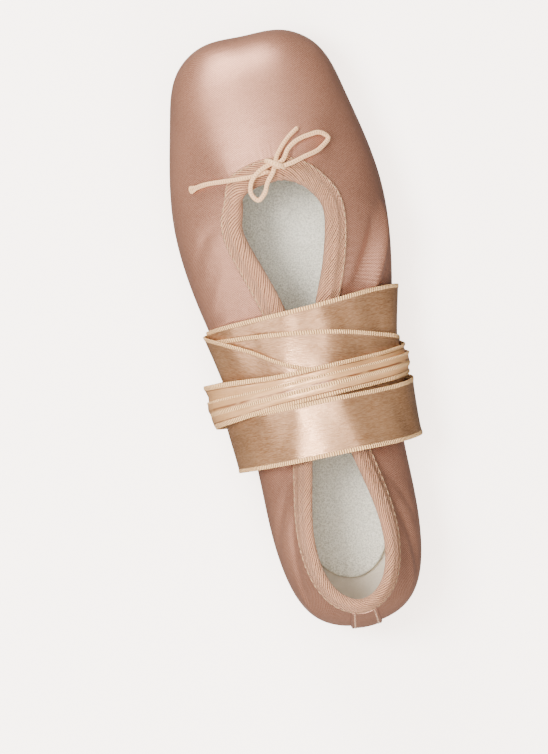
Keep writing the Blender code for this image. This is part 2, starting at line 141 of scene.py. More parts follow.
def both_sides(half):
    """A closed outline from its +X half, which runs from the toe's middle to the heel's middle."""
    half = np.array(half)
    return np.concatenate([half, half[-2:0:-1] * [-1, 1]])


def sole_outline(inset=0.0):
    """The outsole's outline, or a line this far inside it. Their points match one for one."""
    heel = SOLE_ROWS[-1]
    places = np.linspace(SOLE_ENDS[0] + inset, heel.place, 100)
    knots = [row.place for row in SOLE_ROWS]
    halves = hermite(places, knots, [row.half_width for row in SOLE_ROWS])
    halves -= inset * np.hypot(1, np.gradient(halves, places))
    toe = [(halves[0] * share, places[0]) for share in np.linspace(0, 1, 18, endpoint=False)]
    radius = heel.half_width - inset
    turns = np.linspace(0, math.pi / 2, 36)[1:]
    arc = [(radius * math.cos(a), heel.place + radius * math.sin(a)) for a in turns]
    return both_sides([*toe, *zip(halves, places), *arc])


def into_edit(obj, mode):
    """Starts editing one object with nothing selected."""
    bpy.ops.object.select_all(action="DESELECT")
    bpy.context.view_layer.objects.active = obj
    obj.select_set(True)
    bpy.ops.object.mode_set(mode="EDIT")
    bpy.ops.mesh.select_mode(type=mode)
    bpy.ops.mesh.select_all(action="DESELECT")


def pick(obj, kind, wanted):
    """Selects the faces or edges of the mesh in edit mode for which wanted is true."""
    work = bmesh.from_edit_mesh(obj.data)
    work.normal_update()
    for part in getattr(work, kind):
        part.select_set(bool(wanted(part)))
    work.select_flush_mode()
    bmesh.update_edit_mesh(obj.data)


def out_of_edit(obj):
    """Stops editing it, with nothing selected."""
    bpy.ops.object.mode_set(mode="OBJECT")
    obj.select_set(False)


def cut_plate(name, outline, thickness):
    """A flat plate cut to an outline, lying on the XY plane, in millimetres."""
    bpy.ops.mesh.primitive_circle_add(vertices=len(outline), fill_type="NGON")
    obj = bpy.context.object
    obj.name = obj.data.name = name
    for vert, (x, place) in zip(obj.data.vertices, outline):
        vert.co = (x, place, 0)
    into_edit(obj, "FACE")
    bpy.ops.mesh.select_all(action="SELECT")
    bpy.ops.mesh.extrude_region_move(TRANSFORM_OT_translate={"value": (0, 0, thickness)})
    bpy.ops.mesh.select_all(action="SELECT")
    bpy.ops.mesh.normals_make_consistent(inside=False)
    return obj


def step_in(obj, outline, steps):
    """Insets the picked face once for each step, which is how far in its rim then lies and how high."""
    ring = outline()
    for inset, height in steps:
        next_ring = outline(inset)
        bpy.ops.mesh.inset(thickness=0.002)
        work = bmesh.from_edit_mesh(obj.data)
        face = next(f for f in work.faces if f.select)
        for vert in face.verts:
            k = np.abs(ring - np.array(vert.co.xy)).sum(axis=1).argmin()
            vert.co = (*next_ring[k], height)
        bmesh.update_edit_mesh(obj.data)
        ring = next_ring


def round_rims(obj, width, is_flat):
    """Rounds the edges where the plate's wall meets the faces for which is_flat is true."""
    bpy.ops.mesh.select_mode(type="EDGE")
    pick(
        obj,
        "edges",
        lambda e: any(abs(f.normal.z) < 0.2 for f in e.link_faces) and any(map(is_flat, e.link_faces)),
    )
    bpy.ops.mesh.bevel(offset=width, segments=3)


def cut_rows(normal, low, high, step):
    """Cuts across the plate in edit mode every few millimetres, so that it can be curved."""
    for at in np.arange(low + step / 2, high, step):
        bpy.ops.mesh.select_all(action="SELECT")
        bpy.ops.mesh.bisect(plane_co=Vector(normal) * at, plane_no=normal)


def curve_plate(obj, height_at, smooth_below):
    """Gives each point the height of the last under it, turns millimetres into metres, and shades
    every edge smooth whose angle is below this many degrees."""
    out_of_edit(obj)
    points = np.zeros(len(obj.data.vertices) * 3)
    obj.data.vertices.foreach_get("co", points)
    x, place, z = points.reshape(-1, 3).T
    points = to_frame(x, place, z + height_at(x, place, z))
    obj.data.vertices.foreach_set("co", points.ravel())
    obj.data.update()
    obj.select_set(True)
    bpy.ops.object.shade_smooth_by_angle(angle=math.radians(smooth_below))
    obj.select_set(False)


outsole = cut_plate("outsole_leather", sole_outline(), SOLE_THICKNESS)
pick(outsole, "faces", lambda f: f.normal.z < -0.9)
outer_lip, inner_lip = CHANNEL_INSET - CHANNEL_WIDTH / 2, CHANNEL_INSET + CHANNEL_WIDTH / 2
step_in(
    outsole,
    sole_outline,
    [
        (1.0, 0),
        (outer_lip, 0),
        (outer_lip + CHANNEL_SLOPE, CHANNEL_DEPTH),
        (inner_lip - CHANNEL_SLOPE, CHANNEL_DEPTH),
        (inner_lip, 0),
    ],
)
round_rims(outsole, SOLE_RIM, lambda f: abs(f.normal.z) > 0.8)
cut_rows((0, 1, 0), *SOLE_ENDS, 3)
curve_plate(outsole, lambda x, place, z: sole_lift(place), 38)


class Wire:
    """A shader socket. Python's operators on it add Math nodes."""

    def __init__(self, finish, socket):
        self.finish, self.socket = finish, socket

    def math(self, operation, *values):
        """This value, or this and others, through one Math node."""
        sockets = dict(enumerate((self, *values)))
        return self.finish.node("ShaderNodeMath", {"operation": operation}, sockets)

    def __add__(self, other):
        return self.math("ADD", other)

    def __sub__(self, other):
        return self.math("SUBTRACT", other)

    def __mul__(self, other):
        return self.math("MULTIPLY", other)

    def __truediv__(self, other):
        return self.math("DIVIDE", other)

    def __rsub__(self, other):
        return self.finish.node("ShaderNodeMath", {"operation": "SUBTRACT"}, {0: other, 1: self})

    __radd__, __rmul__ = __add__, __mul__

    def wave(self, pitch):
        """A sine of this value, from -1 to 1, that repeats every pitch."""
        return (self * (2 * math.pi / pitch)).math("SINE")

    def between(self, low, high):
        """0 below low, 1 above high, smooth between them."""
        settings = {"interpolation_type": "SMOOTHSTEP"}
        sockets = {"Value": self, "From Min": low, "From Max": high}
        return self.finish.node("ShaderNodeMapRange", settings, sockets, "Result")


class Finish:
    """A material. What is the same all over is set on the shader; the rest is wired in by nodes."""

    def __init__(self, name, **constants):
        self.material = bpy.data.materials.new(name)
        self.material.use_nodes = True
        self.tree = self.material.node_tree
        self.shader = self.tree.nodes["Principled BSDF"]
        for key, value in constants.items():
            self.shader.inputs[key.replace("_", " ")].default_value = value

    def node(self, kind, settings=None, sockets=None, output=0):
        """Adds a node: its settings first, then the values or links of its sockets."""
        made = self.tree.nodes.new(kind)
        for key, value in (settings or {}).items():
            if key == "stops":
                ramp = made.color_ramp
                while len(ramp.elements) < len(value):
                    ramp.elements.new(0.5)
                for element, (position, colour) in zip(ramp.elements, value):
                    element.position, element.color = position, (*colour, 1)
            else:
                setattr(made, key, value)
        for key, value in (sockets or {}).items():
            self.join(made.inputs[key], value)
        return Wire(self, made.outputs[output])

    def join(self, socket, value):
        """Links a wire to a socket, or sets the socket to a plain value."""
        if isinstance(value, Wire):
            self.tree.links.new(value.socket, socket)
        elif value is not None:
            socket.default_value = value

    def wear(self, **inputs):
        """Joins what changes over the surface to the shader."""
        for key, value in inputs.items():
            self.join(self.shader.inputs[key.replace("_", " ")], value)
        return self.material

    def place(self):
        """Where the point is on the shoe, as a vector in millimetres."""
        here = self.node("ShaderNodeTexCoord", output="Object")
        return self.node("ShaderNodeVectorMath", {"operation": "SCALE"}, {0: here, "Scale": 1 / MM})

    def parts(self, vector):
        """A vector's three parts."""
        return [self.node("ShaderNodeSeparateXYZ", None, {0: vector}, k) for k in range(3)]

    def on_cloth(self):
        """How far along and across the piece the point is, in millimetres."""
        here = self.node("ShaderNodeUVMap", {"uv_map": "cloth"})
        return [part * UV_UNIT for part in self.parts(here)[:2]]

    def noise(self, vector, size, detail=2.0, roughness=0.5):
        """Noise from 0 to 1 with features about this many millimetres across."""
        sockets = {"Vector": vector, "Scale": 1 / size, "Detail": detail, "Roughness": roughness}
        return self.node("ShaderNodeTexNoise", {"normalize": True}, sockets, 0)

    def blend(self, factor, low, high):
        """One colour where factor is 0 and the other where it is 1."""
        sockets = {"Factor": factor, 6: self.colour(low), 7: self.colour(high)}
        return self.node("ShaderNodeMix", {"data_type": "RGBA"}, sockets, 2)

    def colour(self, value):
        """A wire as it is, or a plain colour with its alpha."""
        return value if isinstance(value, Wire) else (*value, 1)

    def bump(self, height, distance, strength=1.0, normal=None):
        """A bump of this many millimetres, on top of another if there is one."""
        sockets = {"Height": height, "Distance": distance * MM, "Strength": strength, "Normal": normal}
        return self.node("ShaderNodeBump", None, sockets)


def tan_leather():
    """Smooth vegetable-tanned leather, browner in patches and at the toe, dark on its burnished edge."""
    finish = Finish("tan_leather", Roughness=0.55, Specular_IOR_Level=0.4)
    here = finish.place()
    from_middle = finish.parts(here)[1]
    mottle = finish.noise(here, 22.0, 4.0, 0.6)
    fibre = finish.noise(here, 1.1, 5.0, 0.7)
    colour = finish.blend(mottle.between(0.35, 0.68), (0.58, 0.31, 0.13), (0.44, 0.215, 0.082))
    colour = finish.blend(fibre.between(0.4, 0.75) * 0.35, colour, (0.40, 0.19, 0.07))
    at_toe = from_middle.between(-62, -84) * mottle.between(0.3, 0.6)
    colour = finish.blend(at_toe * 0.5, colour, (0.34, 0.15, 0.055))
    facing_down = finish.parts(finish.node("ShaderNodeNewGeometry", output="Normal"))[2]
    edge = facing_down.math("ABSOLUTE").between(0.985, 0.7) * (0.7 + fibre * 0.4)
    colour = finish.blend(edge, colour, (0.14, 0.055, 0.02))
    sockets = {"Vector": here, "Scale": 1.6}
    pores = finish.node("ShaderNodeTexVoronoi", {"feature": "F1"}, sockets, "Distance")
    height = pores.between(0.0, 0.35) * 0.5 + fibre
    return finish.wear(
        Base_Color=colour,
        Roughness=0.62 - edge * 0.22 + fibre * 0.12 - 0.06,
        Normal=finish.bump(height, 0.05, 0.6),
    )


def fit(piece, materials, stands_for=()):
    """Finishes a piece, and fixes it to the shoe, which is all one body."""
    for material in materials:
        piece.data.materials.append(material)
    if stands_for:
        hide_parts(*stands_for)
    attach(piece, "root")


fit(outsole, [tan_leather()], ["outsole"])

# The thread shows as short slanted stitches that dip into an awl hole at each end. Each hole is a
# small lens coloured near-black: painted shade, not a cut hole.

STITCH_PITCH = 3.8
STITCH_SLANT = 6  # degrees
AWL_SLANT = 0.95


def model_stitch(name, length, width, height):
    """One stitch of soft thread, lying along X with its ends drawn down, in metres."""
    bpy.ops.mesh.primitive_uv_sphere_add(segments=8, ring_count=7, radius=0.5)
    obj = bpy.context.object
    obj.name = obj.data.name = name
    into_edit(obj, "VERT")
    bpy.ops.mesh.select_all(action="SELECT")
    bpy.ops.transform.rotate(value=math.pi / 2, orient_axis="Y", center_override=(0, 0, 0))
    bpy.ops.transform.resize(value=(length * MM, width * MM, height * MM), center_override=(0, 0, 0))
    out_of_edit(obj)
    for vert in obj.data.vertices:
        share = 2 * vert.co.x / (length * MM)
        vert.co.z -= height * MM * 0.5 * share**2
    obj.data.shade_smooth()
    return obj


def sew(pattern, name, places):
    """Copies the pattern to each (middle, along, away) and joins the copies as one piece."""
    copies = []
    for middle, along, away in places:
        along, away = Vector(along).normalized(), Vector(away).normalized()
        side = away.cross(along).normalized()
        away = along.cross(side)
        turn = Matrix((along, side, away)).transposed().to_4x4()
        turn.translation = Vector(middle)
        copy = bpy.data.objects.new(name, pattern.data.copy())
        copy.data.transform(turn)
        bpy.context.scene.collection.objects.link(copy)
        copies.append(copy)
    bpy.ops.object.select_all(action="DESELECT")
    for copy in copies:
        copy.select_set(True)
    bpy.context.view_layer.objects.active = copies[0]
    bpy.ops.object.join()
    joined = bpy.context.object
    joined.name = joined.data.name = name
    joined.select_set(False)
    bpy.data.objects.remove(pattern)
    return joined


def sole_stitches(depth):
    """Places along the channel, this deep in the sole, with the thread turned a little aslant."""
    line = sole_outline(CHANNEL_INSET)
    count = round(run_along(line)[-1] / STITCH_PITCH)
    points_each = 8
    line = respaced(closed(line), count * points_each + 1)[:-1]
    line = to_frame(line[:, 0], line[:, 1], sole_lift(line[:, 1]) + depth)
    places = []
    for i in range(0, len(line), points_each):
        along = Vector(line[(i + 3) % len(line)]) - Vector(line[i - 3])
        along.rotate(Matrix.Rotation(math.radians(STITCH_SLANT), 3, "Z"))
        places.append((line[i], along, (0, 0, -1)))
    return places


def awl_holes():
    """A hole halfway from each stitch to the next, turned across the channel."""
    across = Matrix.Rotation(AWL_SLANT, 3, "Z")
    return [
        (Vector(middle) + along.normalized() * STITCH_PITCH / 2 * MM, across @ along, away)
        for middle, along, away in sole_stitches(0.1)
    ]


def sewing_thread(name, colour):
    """Twisted thread of one colour, with a little painted shade in the grooves of its twist."""
    finish = Finish(name, Roughness=0.7, Sheen_Weight=0.3)
    here = finish.place()
    x, y, z = finish.parts(here)
    ply = (x + y * 0.7 + z).wave(0.33)
    shade = finish.noise(here, 2.0, 2.0)
    dark = tuple(part * 0.62 for part in colour)
    # Painted shade, slight: the colour darkens along the twist's grooves (ply); the noise is the
    # thread's own uneven tone.
    return finish.wear(
        Base_Color=finish.blend(shade * 0.5 + ply * 0.2 + 0.1, colour, dark),
        Normal=finish.bump(ply, 0.05, 0.5),
    )


def painted_hole_shade():
    """Painted shade for the awl holes: a near-black colour on each small lens that stands in for a hole.
    """
    finish = Finish("awl_hole", Roughness=0.9)
    shade = finish.noise(finish.place(), 0.8, 3.0)
    return finish.wear(Base_Color=finish.blend(shade, (0.04, 0.018, 0.010), (0.10, 0.045, 0.025)))


stitch = model_stitch("stitch", STITCH_PITCH * 0.8, 0.3, 0.26)
sole_thread = sew(stitch, "outsole_thread", sole_stitches(0.12))
fit(sole_thread, [sewing_thread("sole_thread", (0.74, 0.52, 0.29))])
# The holes are small lenses whose near-black colour is painted shade.
holes = sew(model_stitch("hole", 2.3, 0.6, 0.3), "outsole_awl_holes", awl_holes())
fit(holes, [painted_hole_shade()])

# ---------------------------------------------------------------- upper
# Peach satin over canvas, drawn down over the last and pleated in under the toe, where paste stiffens
# it to a box. The wall is one hollow piece: satin outside, drill lining inside, open at the collar.

RIBS_ROUND = 480
LOWER_ROWS = 60  # from the sole opening to the widest line
UPPER_ROWS = 56  # from there to the collar
LINING_ROWS = 30
BOX_WALL = 2.4
QUARTER_WALL = 1.6
BOX_END = (78.0, 104.0)
LOOSE_GAP = 0.45
RELIEF_START = (3.6, 6.0)  # millimetres up the rib: the turned-in edge stays plain

# One rib runs from the sole opening, out to the widest line of the shoe and up to the collar. Each
# row is a rib, from the toe's middle round one side to the heel's middle.
Rib = namedtuple(
    "Rib",
    "side_x side_s side_z sole_x sole_s top_x top_s top_z under tuck rise brow fall",
)
RIBS = [
    Rib(0.0, 0.0, 21.0, 0.0, 36.0, 0.0, 56.6, 55.6, 28, 15, 24, 34, 9),
    Rib(15.5, 0.7, 21.0, 8.5, 36.0, 5.6, 57.2, 55.4, 27, 15, 23, 33, 9),
    Rib(27.2, 8.4, 21.0, 13.6, 38.6, 11.2, 60.2, 54.8, 19, 13, 21, 27, 8),
    Rib(34.2, 27.0, 21.5, 16.6, 50.0, 15.2, 66.5, 53.8, 12, 11, 17, 17, 6),
    Rib(41.0, 66.0, 22.0, 22.0, 74.0, 16.9, 78.0, 52.0, 10, 11, 15, 12, 5),
    Rib(38.2, 99.0, 21.5, 17.0, 99.0, 10.4, 97.5, 49.8, 12, 11, 13, 12, 6),
    Rib(31.2, 134.0, 22.5, 10.2, 132.0, 6.0, 123.0, 47.5, 12, 10, 11, 11, 7),
    Rib(28.8, 168.0, 22.5, 10.6, 166.0, 8.8, 160.0, 48.5, 11, 10, 13, 8, 8),
    Rib(27.6, 203.0, 23.0, 12.4, 194.0, 15.6, 196.0, 52.0, 9, 10, 14, 4, 11),
    Rib(17.6, 226.5, 23.5, 7.6, 206.5, 10.6, 217.5, 55.5, 9, 11, 15, 2, 11),
    Rib(0.0, 232.0, 24.0, 0.0, 210.0, 0.0, 223.6, 57.0, 10, 12, 16, 2, 11),
]
MIRRORED = ("side_x", "sole_x", "top_x")

# Worn in the hand, the throat isn't quite even: where the tops of some ribs have moved to, in
# millimetres. Ribs count on past the heel, up the -X side.
Pull = namedtuple("Pull", "rib x s")
PULLS = [
    Pull(2, 1.4, -0.6),
    Pull(3, 0.7, -0.1),
    Pull(14, 1.4, 0.0),
    Pull(15, -1.9, 0.0),
    Pull(16, -1.4, 0.0),
    Pull(17, -1.1, -0.5),
]

# Pleats under the toe: where on the rim each fold's lip is, how far up it reaches and how deep it is.
Pleat = namedtuple("Pleat", "u reach depth")
PLEATS = [
    Pleat(-0.176, 0.30, 0.5),
    Pleat(-0.150, 0.36, 0.8),
    Pleat(-0.128, 0.40, 1.0),
    Pleat(-0.107, 0.42, 1.2),
    Pleat(-0.088, 0.40, 1.1),
    Pleat(-0.070, 0.45, 1.3),
    Pleat(-0.054, 0.42, 1.1),
    Pleat(-0.037, 0.44, 1.3),
    Pleat(-0.021, 0.40, 1.0),
    Pleat(-0.006, 0.43, 1.2),
    Pleat(0.011, 0.42, 1.1),
    Pleat(0.026, 0.45, 1.3),
    Pleat(0.043, 0.41, 1.1),
    Pleat(0.060, 0.44, 1.2),
    Pleat(0.078, 0.40, 1.1),
    Pleat(0.098, 0.42, 1.2),
    Pleat(0.119, 0.38, 0.9),
    Pleat(0.142, 0.36, 0.8),
    Pleat(0.168, 0.30, 0.5),
]
PLEAT_START = (4.2, 7.0)  # millimetres up the rib, where the outsole's edge lets go of the satin
PLEAT_FULLNESS = 1.15
PLEAT_TOP = 0.45  # v, above the longest of them
LIP = 0.0016  # a lip's width and its sway, as parts of the way round
LIP_SWAY = 0.006

# Creases drawn as soft lines between two spots (u, v): v is 0.5 at the widest line and 1 at the
# collar. Width and depth in millimetres; a negative depth is a raised fold.
Crease = namedtuple("Crease", "u1 v1 u2 v2 width depth")
THROAT_FOLD = Crease(-0.176, 0.60, -0.253, 0.77, 4.0, -3.0)
CREASES = [
    THROAT_FOLD,
    Crease(-0.180, 0.705, -0.248, 0.865, 3.0, 1.25),
    Crease(-0.150, 0.88, -0.190, 0.66, 2.6, -0.25),
    Crease(-0.120, 0.90, -0.135, 0.72, 2.4, 0.22),
    Crease(-0.255, 0.86, -0.285, 0.60, 2.6, 0.35),
    Crease(-0.235, 0.88, -0.262, 0.64, 2.2, -0.25),
    Crease(0.150, 0.90, 0.205, 0.64, 2.6, 0.30),
    Crease(0.195, 0.88, 0.240, 0.62, 2.4, -0.22),
    Crease(0.225, 0.88, 0.275, 0.60, 2.6, 0.30),
    Crease(0.392, 0.88, 0.452, 0.66, 4.2, 0.90),
    Crease(0.410, 0.80, 0.470, 0.56, 3.0, -0.45),
    Crease(0.372, 0.84, 0.416, 0.56, 3.2, 0.45),
    Crease(-0.388, 0.88, -0.446, 0.62, 4.2, 0.80),
    Crease(-0.412, 0.82, -0.468, 0.58, 3.0, -0.40),
    Crease(-0.370, 0.86, -0.410, 0.60, 3.2, 0.40),
    Crease(0.345, 0.44, 0.430, 0.30, 3.0, 0.40),
    Crease(-0.350, 0.42, -0.436, 0.28, 3.0, 0.40),
]


def above_sole(place):
    """Where the upper's turned-in edge lies: just above the outsole, level past its two ends."""
    return sole_lift(np.clip(place, *SOLE_ENDS)) + SOLE_THICKNESS + LOOSE_GAP


def closed_rows():
    """The ribs once round the shoe, with the knots of a closed curve through them."""
    half = np.array(RIBS, float)
    mirror = half[-2:0:-1].copy()
    for name in MIRRORED:
        mirror[:, Rib._fields.index(name)] *= -1
    rows = np.concatenate([half, mirror])
    for pull in PULLS:
        rows[pull.rib, Rib._fields.index("top_x")] += pull.x
        rows[pull.rib, Rib._fields.index("top_s")] += pull.s
    knots = run_along(closed(rows)[:, :2])
    return knots / knots[-1], rows


def closed_bends(knots, rows):
    """Second derivatives of the periodic cubic spline through the rows."""
    n, h = len(rows), np.diff(knots)
    matrix, right = np.zeros((n, n)), np.zeros_like(rows)
    for i in range(n):
        before, after = h[i - 1], h[i]
        matrix[i, i - 1] += before
        matrix[i, i] += 2 * (before + after)
        matrix[i, (i + 1) % n] += after
        right[i] = 6 * ((rows[(i + 1) % n] - rows[i]) / after - (rows[i] - rows[i - 1]) / before)
    return np.linalg.solve(matrix, right)


KNOTS, ROWS = closed_rows()
BENDS = closed_bends(KNOTS, ROWS)


def rib_at(u):
    """The rib values at u, from 0 at the toe's middle through 0.5 at the heel's."""
    u = np.asarray(u, float) % 1
    i = np.clip(np.searchsorted(KNOTS, u, side="right") - 1, 0, len(ROWS) - 1)
    j, h = (i + 1) % len(ROWS), (KNOTS[i + 1] - KNOTS[i])[..., None]
    b = (u - KNOTS[i])[..., None] / h
    a = 1 - b
    values = a * ROWS[i] + b * ROWS[j]
    values += ((a**3 - a) * BENDS[i] + (b**3 - b) * BENDS[j]) * h * h / 6
    return Rib(*np.moveaxis(values, -1, 0))


def unit(vectors):
    """Each vector at a length of one."""
    return vectors / np.linalg.norm(vectors, axis=-1, keepdims=True)


def bezier(a, b, c, d, t):
    """A cubic curve from a to d, drawn towards b and c."""
    s = 1 - t
    return s**3 * a + 3 * s * s * t * b + 3 * s * t * t * c + t**3 * d


def on_upper(u, v):
    """A point on the upper's outside in millimetres. v is 0 at the sole opening, 0.5 at the widest
    line and 1 at the collar's edge."""
    u, v = np.broadcast_arrays(np.asarray(u, float), np.asarray(v, float))
    rib = rib_at(u)
    side = np.stack([rib.side_x, rib.side_s, rib.side_z], -1)
    sole = np.stack([rib.sole_x, rib.sole_s, above_sole(rib.sole_s)], -1)
    top = np.stack([rib.top_x, rib.top_s, rib.top_z], -1)
    up = np.array([0.0, 0.0, 1.0])

    def outward(start):
        """The level way from a start out to the widest line."""
        return unit((side - start) * [1, 1, 0])

    low = np.clip(2 * v, 0, 1)[..., None]
    high = np.clip(2 * v - 1, 0, 1)[..., None]
    under = sole + outward(sole) * rib.under[..., None]
    lower = bezier(sole, under, side - up * rib.tuck[..., None], side, low)
    lower[..., 2] = np.maximum(lower[..., 2], above_sole(lower[..., 1]))
    brow = top + outward(top) * rib.brow[..., None] - up * rib.fall[..., None]
    upper = bezier(side, side + up * rib.rise[..., None], brow, top, high)
    return np.where(v[..., None] < 0.5, lower, upper)


def normal_of(u, v):
    """The upper's outward unit normal."""
    du, dv = 1e-4, 1e-3
    v = np.clip(v, dv, 1 - dv)
    along = on_upper(u + du, v) - on_upper(u - du, v)
    across = on_upper(u, v + dv) - on_upper(u, v - dv)
    return unit(np.cross(along, across))


def upper_point(u, v, out=0.0):
    """A point that stands out millimetres off the upper's outside."""
    u, v = np.broadcast_arrays(np.asarray(u, float), np.asarray(v, float))
    return on_upper(u, v) + normal_of(u, v) * np.asarray(out)[..., None]


def wall_at(place):
    """The wall's thickness: the pasted box ends a little behind the ball."""
    return BOX_WALL + (QUARTER_WALL - BOX_WALL) * smoothstep(place, *BOX_END)


def signed(u):
    """u counted from the toe's middle, from -0.5 to 0.5."""
    return (np.asarray(u) + 0.5) % 1 - 0.5


def sway(u, v):
    """How far the folds' lips lean sideways on their way up the toe, as a change of u."""
    u = signed(u)
    climb = np.sin(np.pi * np.clip(v / PLEAT_TOP, 0, 1))
    return LIP_SWAY * np.sin(u * 60 + 1.0) * climb * (1 - smoothstep(np.abs(u), 0.17, 0.24))


def pleat_relief(u, v, run):
    """The knife pleats: each rises in one step at its lip, swells, and dives under the next lip."""
    u = signed(u)
    lips = np.array([p.u for p in PLEATS])
    k = np.clip(np.searchsorted(lips, u, side="right") - 1, 0, len(PLEATS) - 2)
    width = lips[k + 1] - lips[k]
    t = np.clip((u - lips[k]) / width, 0, 1)
    t = np.where(u < 0, 1 - t, t)
    near = np.where(u < 0, k + 1, k)
    depth = np.array([p.depth for p in PLEATS])[near]
    reach = np.array([p.reach for p in PLEATS])[near]
    swell = smoothstep(t * width, 0, LIP) * (1 - t**2.2)
    held = smoothstep(run, *PLEAT_START) * (1 - smoothstep(v, reach * 0.4, reach))
    edge = smoothstep(u, lips[0] - 0.004, lips[0]) * (1 - smoothstep(u, lips[-1], lips[-1] + 0.004))
    inside = (u > lips[0]) & (u < lips[-1])
    return depth * PLEAT_FULLNESS * (swell - 0.45) * held * edge * inside


def bell(off, width):
    """A soft bump's section: 1 at its middle and 0 well away from it."""
    return np.exp(-((off / width) ** 2))


SATIN_SPREAD = np.array([560.0, 95.0])  # roughly, the millimetres in one unit of u and of v
RUCKED = (-0.250, -0.200)  # the stretch of u where the fold is rucked up
RUCK_PITCH = 0.003
RUCK_RIBS = 0.0007  # how close together the upper's ribs are there
RUCK_DEPTH = 0.085


def crease_relief(u, v):
    """Soft troughs and raised folds along the creases."""
    at = np.stack([signed(u), v], -1) * SATIN_SPREAD
    height = np.zeros(at.shape[:-1])
    for c in CREASES:
        start = np.array([c.u1, c.v1]) * SATIN_SPREAD
        way = np.array([c.u2, c.v2]) * SATIN_SPREAD - start
        share = ((at - start) @ way) / (way @ way)
        held = np.sin(np.pi * np.clip(share, 0, 1)) ** 0.8
        off = np.linalg.norm(at - start - np.clip(share, 0, 1)[..., None] * way, axis=-1)
        height -= c.depth * held * bell(off, c.width)
    return height


def rucks(u, v):
    """Ripples across the fold beside the throat, where the ribbon gathers the satin up."""
    u = signed(u)
    fold = THROAT_FOLD
    beside = v - fold.v1 - (u - fold.u1) * (fold.v2 - fold.v1) / (fold.u2 - fold.u1)
    beat = np.sin(u * 2 * np.pi / RUCK_PITCH + 1.6 * np.sin(u * 150 + v * 9) - v * 38)
    start, end = RUCKED
    held = smoothstep(u, start, start + 0.007) * (1 - smoothstep(u, end - 0.02, end))
    held = held * smoothstep(beside, -0.05, 0.02) * (1 - smoothstep(beside, 0.08, 0.14))
    return RUCK_DEPTH * beat * held


PUCKERS_ROUND = 118
PUCKER_DEPTH = 0.045
PUCKERS_AT = 9.5  # millimetres below the collar's edge
PUCKERS_WIDTH = 3.2


def puckers(u, from_edge):
    """Short gathers in the satin where the binding is sewn on."""
    beat = np.sin(u * 2 * np.pi * PUCKERS_ROUND + 1.7 * np.sin(u * 2 * np.pi * 23))
    return PUCKER_DEPTH * beat * bell(from_edge - PUCKERS_AT, PUCKERS_WIDTH)


def laid_out(along, across):
    """The places on the cloth of a grid's points, in millimetres."""
    return np.stack(np.meshgrid(along, across, indexing="ij"), -1)


def quad_skin(name, grid, cloth, loop=False):
    """A closed skin through rows of points, each row a ring. cloth is the millimetres along and
    across it, with one more row and one more column where the skin closes on itself."""
    grid = to_frame(*np.moveaxis(grid, -1, 0))
    rows, ring = grid.shape[:2]
    last = rows if loop else rows - 1
    i, k = np.meshgrid(np.arange(last), np.arange(ring), indexing="ij")
    j, m = (i + 1) % rows, (k + 1) % ring
    corners = [(i, k), (i, m), (j, m), (j, k)]
    on_cloth = [(i, k), (i, k + 1), (i + 1, k + 1), (i + 1, k)]
    points = grid.reshape(-1, 3)
    faces = np.stack([a * ring + b for a, b in corners], -1).reshape(-1, 4)
    a, b, c, d = (points[faces[:, n]] for n in range(4))
    volume = (a * np.cross(b, c)).sum() + (a * np.cross(c, d)).sum()
    order = [0, 1, 2, 3] if volume > 0 else [3, 2, 1, 0]
    faces = faces[:, order].tolist()
    uv = np.stack([cloth[a, b] for a, b in on_cloth], axis=2).reshape(-1, 4, 2)[:, order]
    uv = uv.reshape(-1, 2)
    if not loop:
        caps = [list(range(ring)), [(rows - 1) * ring + n for n in range(ring)]]
        caps = [caps[0][::-1], caps[1]] if volume > 0 else [caps[0], caps[1][::-1]]
        faces += caps
        uv = np.concatenate([uv, np.zeros((2 * ring, 2)) + uv[:1]])
    mesh = bpy.data.meshes.new(name)
    mesh.from_pydata(points.tolist(), [], faces)
    layer = mesh.uv_layers.new(name="cloth")
    layer.data.foreach_set("uv", (uv / UV_UNIT).ravel())
    mesh.shade_smooth()
    obj = bpy.data.objects.new(name, mesh)
    bpy.context.scene.collection.objects.link(obj)
    return obj


def build_upper():
    """The satin's outside with its pleats and creases, and the plain lining inside it."""
    lips = np.array([p.u for p in PLEATS])
    close = np.concatenate([lips - LIP * 0.4, lips, lips + LIP * 0.5, lips + LIP])
    fine = np.arange(*RUCKED, RUCK_RIBS)
    u = np.concatenate([signed(np.arange(RIBS_ROUND) / RIBS_ROUND), close, fine])
    u = np.unique(np.round(u, 5)) % 1
    v = np.linspace(0, 0.5, LOWER_ROWS + 1)
    v = np.concatenate([v, np.linspace(0.5, 1, UPPER_ROWS + 1)[1:]])
    uu, vv = np.meshgrid(u, v, indexing="ij")
    leaning = uu + sway(uu, vv)
    smooth = on_upper(leaning, vv)
    steps = np.linalg.norm(np.diff(smooth, axis=1), axis=2)
    run = np.concatenate([np.zeros((len(u), 1)), np.cumsum(steps, axis=1)], axis=1)
    relief = pleat_relief(uu, vv, run) + crease_relief(uu, vv) + rucks(uu, vv)
    relief += puckers(uu, run[:, -1:] - run)
    relief *= smoothstep(run, *RELIEF_START)
    outside = upper_point(leaning, vv, relief)
    inner_u, inner_v = np.meshgrid(u, np.linspace(1, 0, LINING_ROWS), indexing="ij")
    inside = upper_point(inner_u, inner_v, -wall_at(on_upper(inner_u, inner_v)[..., 1]))
    grid = np.concatenate([outside, inside], axis=1)
    ring = grid.shape[1]
    widest = smooth[:, LOWER_ROWS]
    along = np.repeat(run_along(closed(widest))[:, None], ring + 1, axis=1)
    inner_run = run[:, -1:] + 2.0 * np.arange(1, LINING_ROWS + 2)
    across = closed(np.concatenate([run, inner_run], axis=1))
    obj = quad_skin("upper_satin", grid, np.stack([along, across], -1), loop=True)
    lining = np.tile(np.arange(ring) >= len(v) - 1, len(u))
    obj.data.polygons.foreach_set("material_index", lining.astype(np.int32))
    return obj


